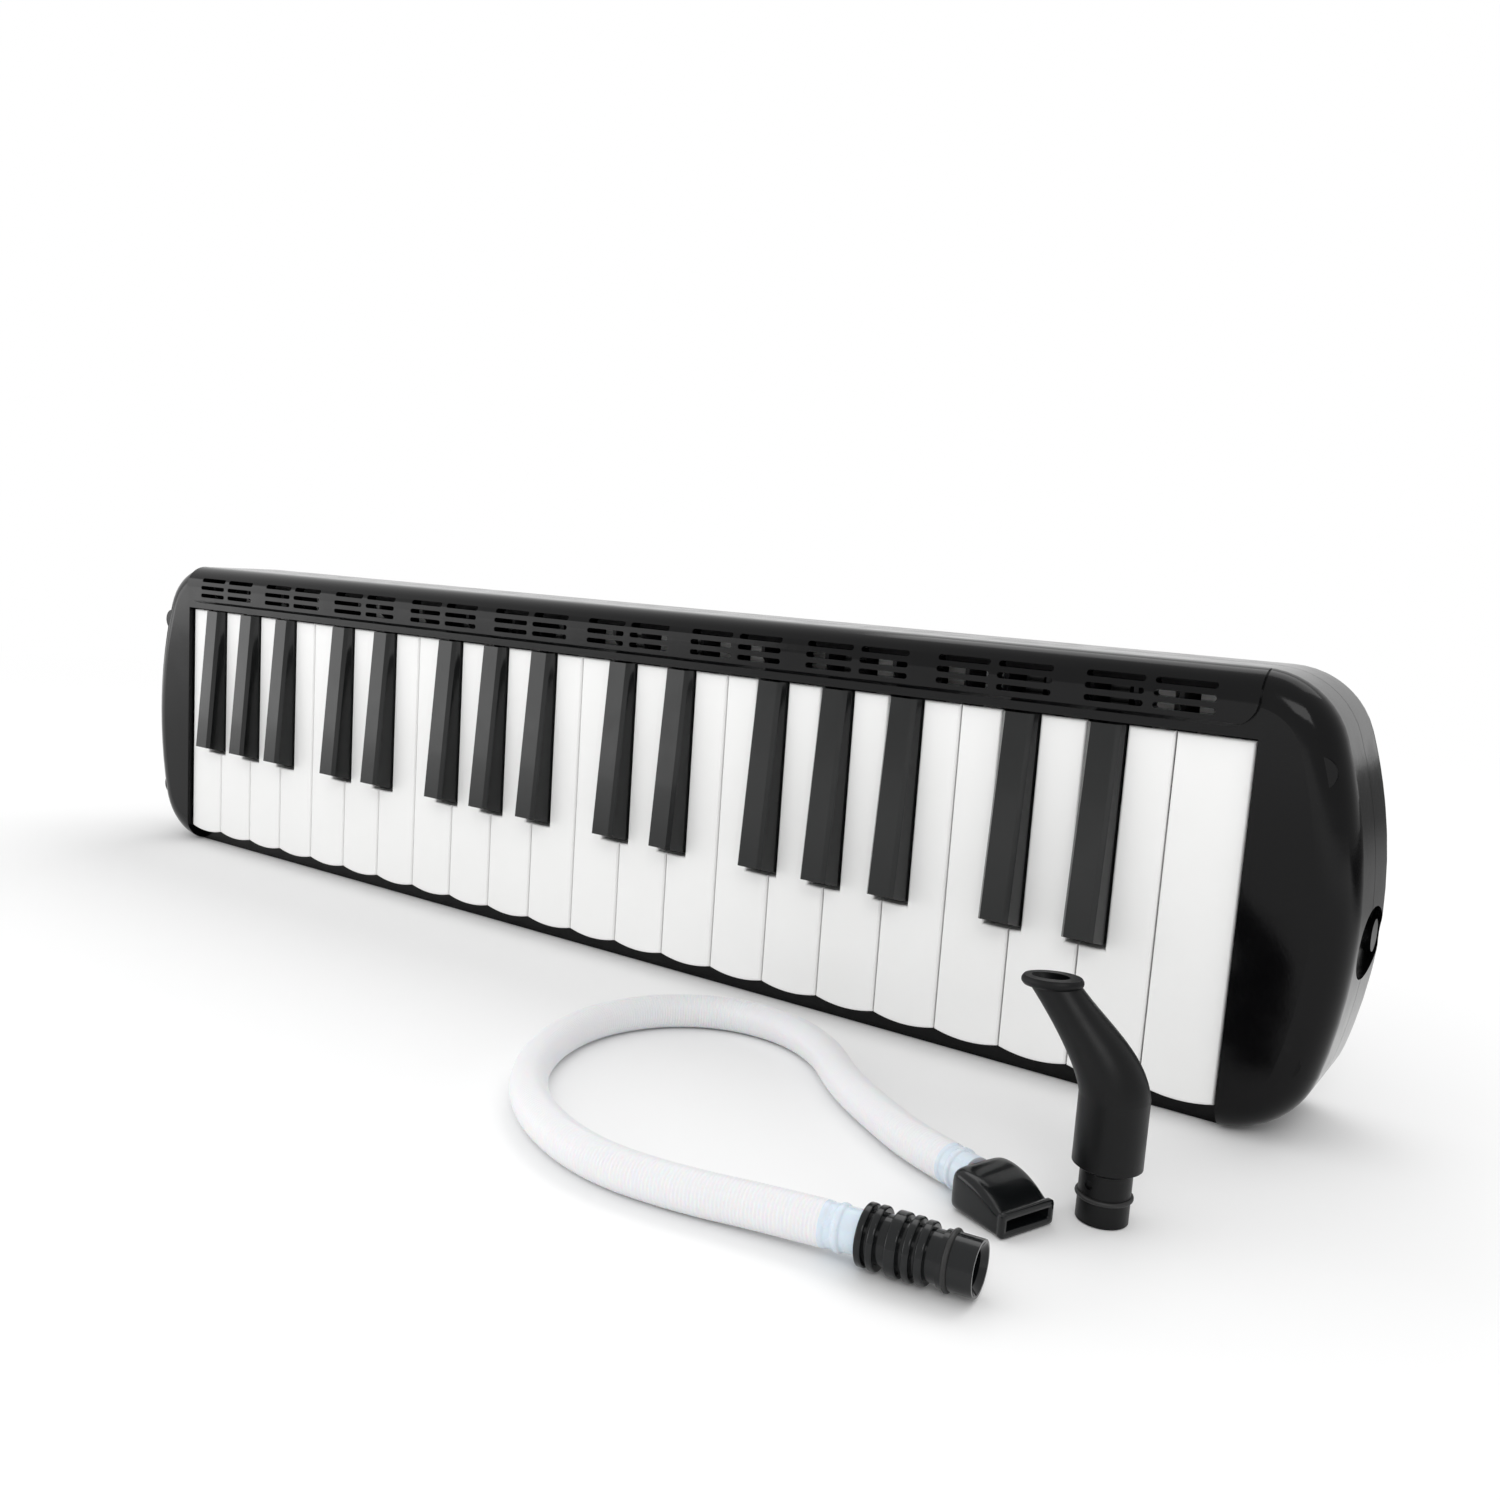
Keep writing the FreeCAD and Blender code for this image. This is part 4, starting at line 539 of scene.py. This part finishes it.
def make_stitches(materials, frames, centre_z, half_width):
    """Two rows of thread along the strap, and a sewn bar near each anchor."""
    bm = bmesh.new()
    places = []
    for side in (-1, 1):
        z = centre_z + side * (half_width - STITCH_INSET)
        places += [(*frames[k], z, False)
                   for k in range(ROW_MARGIN, len(frames) - ROW_MARGIN, STITCH_EVERY)]
    bars = int((2 * half_width - BAR_INSET) / (STITCH_LENGTH * STITCH_STEP))
    for k in BAR_PLACES + tuple(len(frames) - far for far in BAR_PLACES_FAR):
        places += [(*frames[k], centre_z + (i - (bars - 1) / 2) * STITCH_LENGTH * STITCH_STEP, True)
                   for i in range(bars)]
    for place, ahead, out, z, upright in places:
        along = Vector((0, 0, 1)) if upright else ahead
        across = out.cross(along)
        centre = place + out * (STRAP_THICK / 2) + Vector((0, 0, z))
        made = bmesh.ops.create_uvsphere(bm, u_segments=8, v_segments=6, radius=1.0)
        for vert in made["verts"]:
            c = vert.co.copy()
            vert.co = (centre + along * c.z * STITCH_LENGTH / 2 + across * c.x * STITCH_R
                       + out * c.y * STITCH_R)
    for face in bm.faces:
        face.smooth = True
    add_piece("strap_stitches", bm, materials["thread"], "case")


# ---------------------------------------------------------------- stage and light
FLOOR_SIZE = 60               # metres
FLOOR_DROP = 0.0002           # below the object, so that the two don't touch
FLOOR_POOL = 0.40             # metres from the object to where the floor starts to fade
FLOOR_WHITE = 1.1             # and to where it is plain white
FLOOR_GLOW = 1.5              # light that the far floor gives at the front and the left
FLOOR_SHADE = 0.12            # and behind the object
FLOOR_PAINTED_SHADE = (0.25, 0.25, 0.25, 1)    # painted shade: the grey that the object's gloss shows of the floor behind it
SHADE_BEHIND_FROM = 0.05            # metres behind the object's middle where the painted shade and the dimmer floor light start
SHADE_BEHIND_TO = 0.3               # and where they are full
PAPER_SCALE = 3.0
SKY_LEFT = 0.95               # the studio's light from the low-note side
SKY_RIGHT = 0.7               # and from the high-note side
# Each light: place, aim, size and power
LIGHTS = {
    "left_box": ((-1.2, -0.9, 0.3), (-0.1, 0, 0.2), (1.1, 0.8), 5),
    "front_fill": ((0.75, -1.1, 1.0), (0.1, 0, 0.05), (0.7, 0.5), 4),
    "back_top": ((0.1, 0.75, 1.3), (0, -0.1, 0), (1.6, 0.8), 6),
}


def linked_fade(tree, value, start, end):
    """A soft step from 0 to 1 between two distances."""
    fade = tree.nodes.new("ShaderNodeMapRange")
    fade.interpolation_type = "SMOOTHSTEP"
    fade.inputs["From Min"].default_value = start
    fade.inputs["From Max"].default_value = end
    tree.links.new(value, fade.inputs["Value"])
    return fade.outputs["Result"]


def add_stage():
    """A pale paper floor that fades to plain white far from the object.

    What the floor sends to the object is brighter at the front and darker behind it: the far floor
    glows, and for every ray but the camera's the floor's colour behind the object is a painted grey
    shade.
    """
    bpy.ops.mesh.primitive_plane_add(size=FLOOR_SIZE, location=(0, 0, -FLOOR_DROP))
    floor = bpy.context.object
    floor.name = "floor"
    material, tree, shader = new_material("paper")
    shader.inputs["Roughness"].default_value = 0.9
    shader.inputs["Specular IOR Level"].default_value = 0.1
    place = tree.nodes.new("ShaderNodeTexCoord")
    far = tree.nodes.new("ShaderNodeVectorMath")
    far.operation = "LENGTH"
    parts = tree.nodes.new("ShaderNodeSeparateXYZ")
    tree.links.new(place.outputs["Object"], far.inputs[0])
    tree.links.new(place.outputs["Object"], parts.inputs["Vector"])
    # mask behind the object, for the dimmer floor light and the painted shade
    behind = linked_fade(tree, parts.outputs["Y"], SHADE_BEHIND_FROM, SHADE_BEHIND_TO)
    sent = tree.nodes.new("ShaderNodeMix")
    sent.inputs["A"].default_value = FLOOR_GLOW
    sent.inputs["B"].default_value = FLOOR_SHADE
    tree.links.new(behind, sent.inputs["Factor"])
    path = tree.nodes.new("ShaderNodeLightPath")
    unseen = tree.nodes.new("ShaderNodeMath")
    unseen.operation = "SUBTRACT"
    unseen.inputs[0].default_value = 1.0
    tree.links.new(path.outputs["Is Camera Ray"], unseen.inputs[1])
    # painted shade: only rays other than the camera's see the floor behind the object in grey
    painted_shade_share = tree.nodes.new("ShaderNodeMath")
    painted_shade_share.operation = "MULTIPLY"
    tree.links.new(unseen.outputs["Value"], painted_shade_share.inputs[0])
    tree.links.new(behind, painted_shade_share.inputs[1])
    # the paper's colour, turned to the painted grey shade behind the object for rays other than the
    # camera's
    paper = tree.nodes.new("ShaderNodeMix")
    paper.data_type = "RGBA"
    paper.inputs["B"].default_value = FLOOR_PAINTED_SHADE
    tree.links.new(painted_shade_share.outputs["Value"], paper.inputs["Factor"])
    seen = mixed(tree, noise(tree, PAPER_SCALE), (0.93, 0.93, 0.93), (0.95, 0.95, 0.95))
    tree.links.new(seen, paper.inputs["A"])
    tree.links.new(paper.outputs["Result"], shader.inputs["Base Color"])
    strength = tree.nodes.new("ShaderNodeMix")
    strength.inputs["B"].default_value = 1.0
    tree.links.new(path.outputs["Is Camera Ray"], strength.inputs["Factor"])
    tree.links.new(sent.outputs["Result"], strength.inputs["A"])
    glow = tree.nodes.new("ShaderNodeEmission")
    tree.links.new(strength.outputs["Result"], glow.inputs["Strength"])
    both = tree.nodes.new("ShaderNodeMixShader")
    fade = linked_fade(tree, far.outputs["Value"], FLOOR_POOL, FLOOR_WHITE)
    tree.links.new(fade, both.inputs["Fac"])
    tree.links.new(shader.outputs["BSDF"], both.inputs[1])
    tree.links.new(glow.outputs["Emission"], both.inputs[2])
    tree.links.new(both.outputs["Shader"], tree.nodes["Material Output"].inputs["Surface"])
    floor.data.materials.append(material)


def area_light(name, place, aim, size, power):
    data = bpy.data.lights.new(name, "AREA")
    data.shape = "RECTANGLE"
    data.size = size[0]
    data.size_y = size[1]
    data.energy = power
    light = bpy.data.objects.new(name, data)
    light.location = place
    light.rotation_euler = (Vector(aim) - Vector(place)).to_track_quat("-Z", "Y").to_euler()
    light.visible_camera = False
    SCENE.collection.objects.link(light)


def add_sky():
    """A white backdrop that lights the object more from the left than from the right."""
    world = bpy.data.worlds.new("studio")
    world.use_nodes = True
    tree = world.node_tree
    sky = tree.nodes["Background"]
    sky.inputs["Color"].default_value = (1, 1, 1, 1)
    place = tree.nodes.new("ShaderNodeTexCoord")
    parts = tree.nodes.new("ShaderNodeSeparateXYZ")
    spread = tree.nodes.new("ShaderNodeMapRange")
    spread.inputs["From Min"].default_value = -1.0
    spread.inputs["To Min"].default_value = SKY_LEFT
    spread.inputs["To Max"].default_value = SKY_RIGHT
    path = tree.nodes.new("ShaderNodeLightPath")
    choose = tree.nodes.new("ShaderNodeMix")
    choose.inputs["B"].default_value = 1.0
    tree.links.new(place.outputs["Generated"], parts.inputs["Vector"])
    tree.links.new(parts.outputs["X"], spread.inputs["Value"])
    tree.links.new(spread.outputs["Result"], choose.inputs["A"])
    tree.links.new(path.outputs["Is Camera Ray"], choose.inputs["Factor"])
    tree.links.new(choose.outputs["Result"], sky.inputs["Strength"])
    SCENE.world = world


def add_light():
    add_sky()
    for name, (place, aim, size, power) in LIGHTS.items():
        area_light(name, place, aim, size, power)
    SCENE.view_settings.view_transform = "Standard"
    SCENE.view_settings.look = "None"


# ---------------------------------------------------------------- build
add_camera()
MATERIALS = make_materials()
dress_cad_nodes(MATERIALS)
make_hose(MATERIALS, make_beak(MATERIALS))
make_strap(MATERIALS)
add_stage()
add_light()
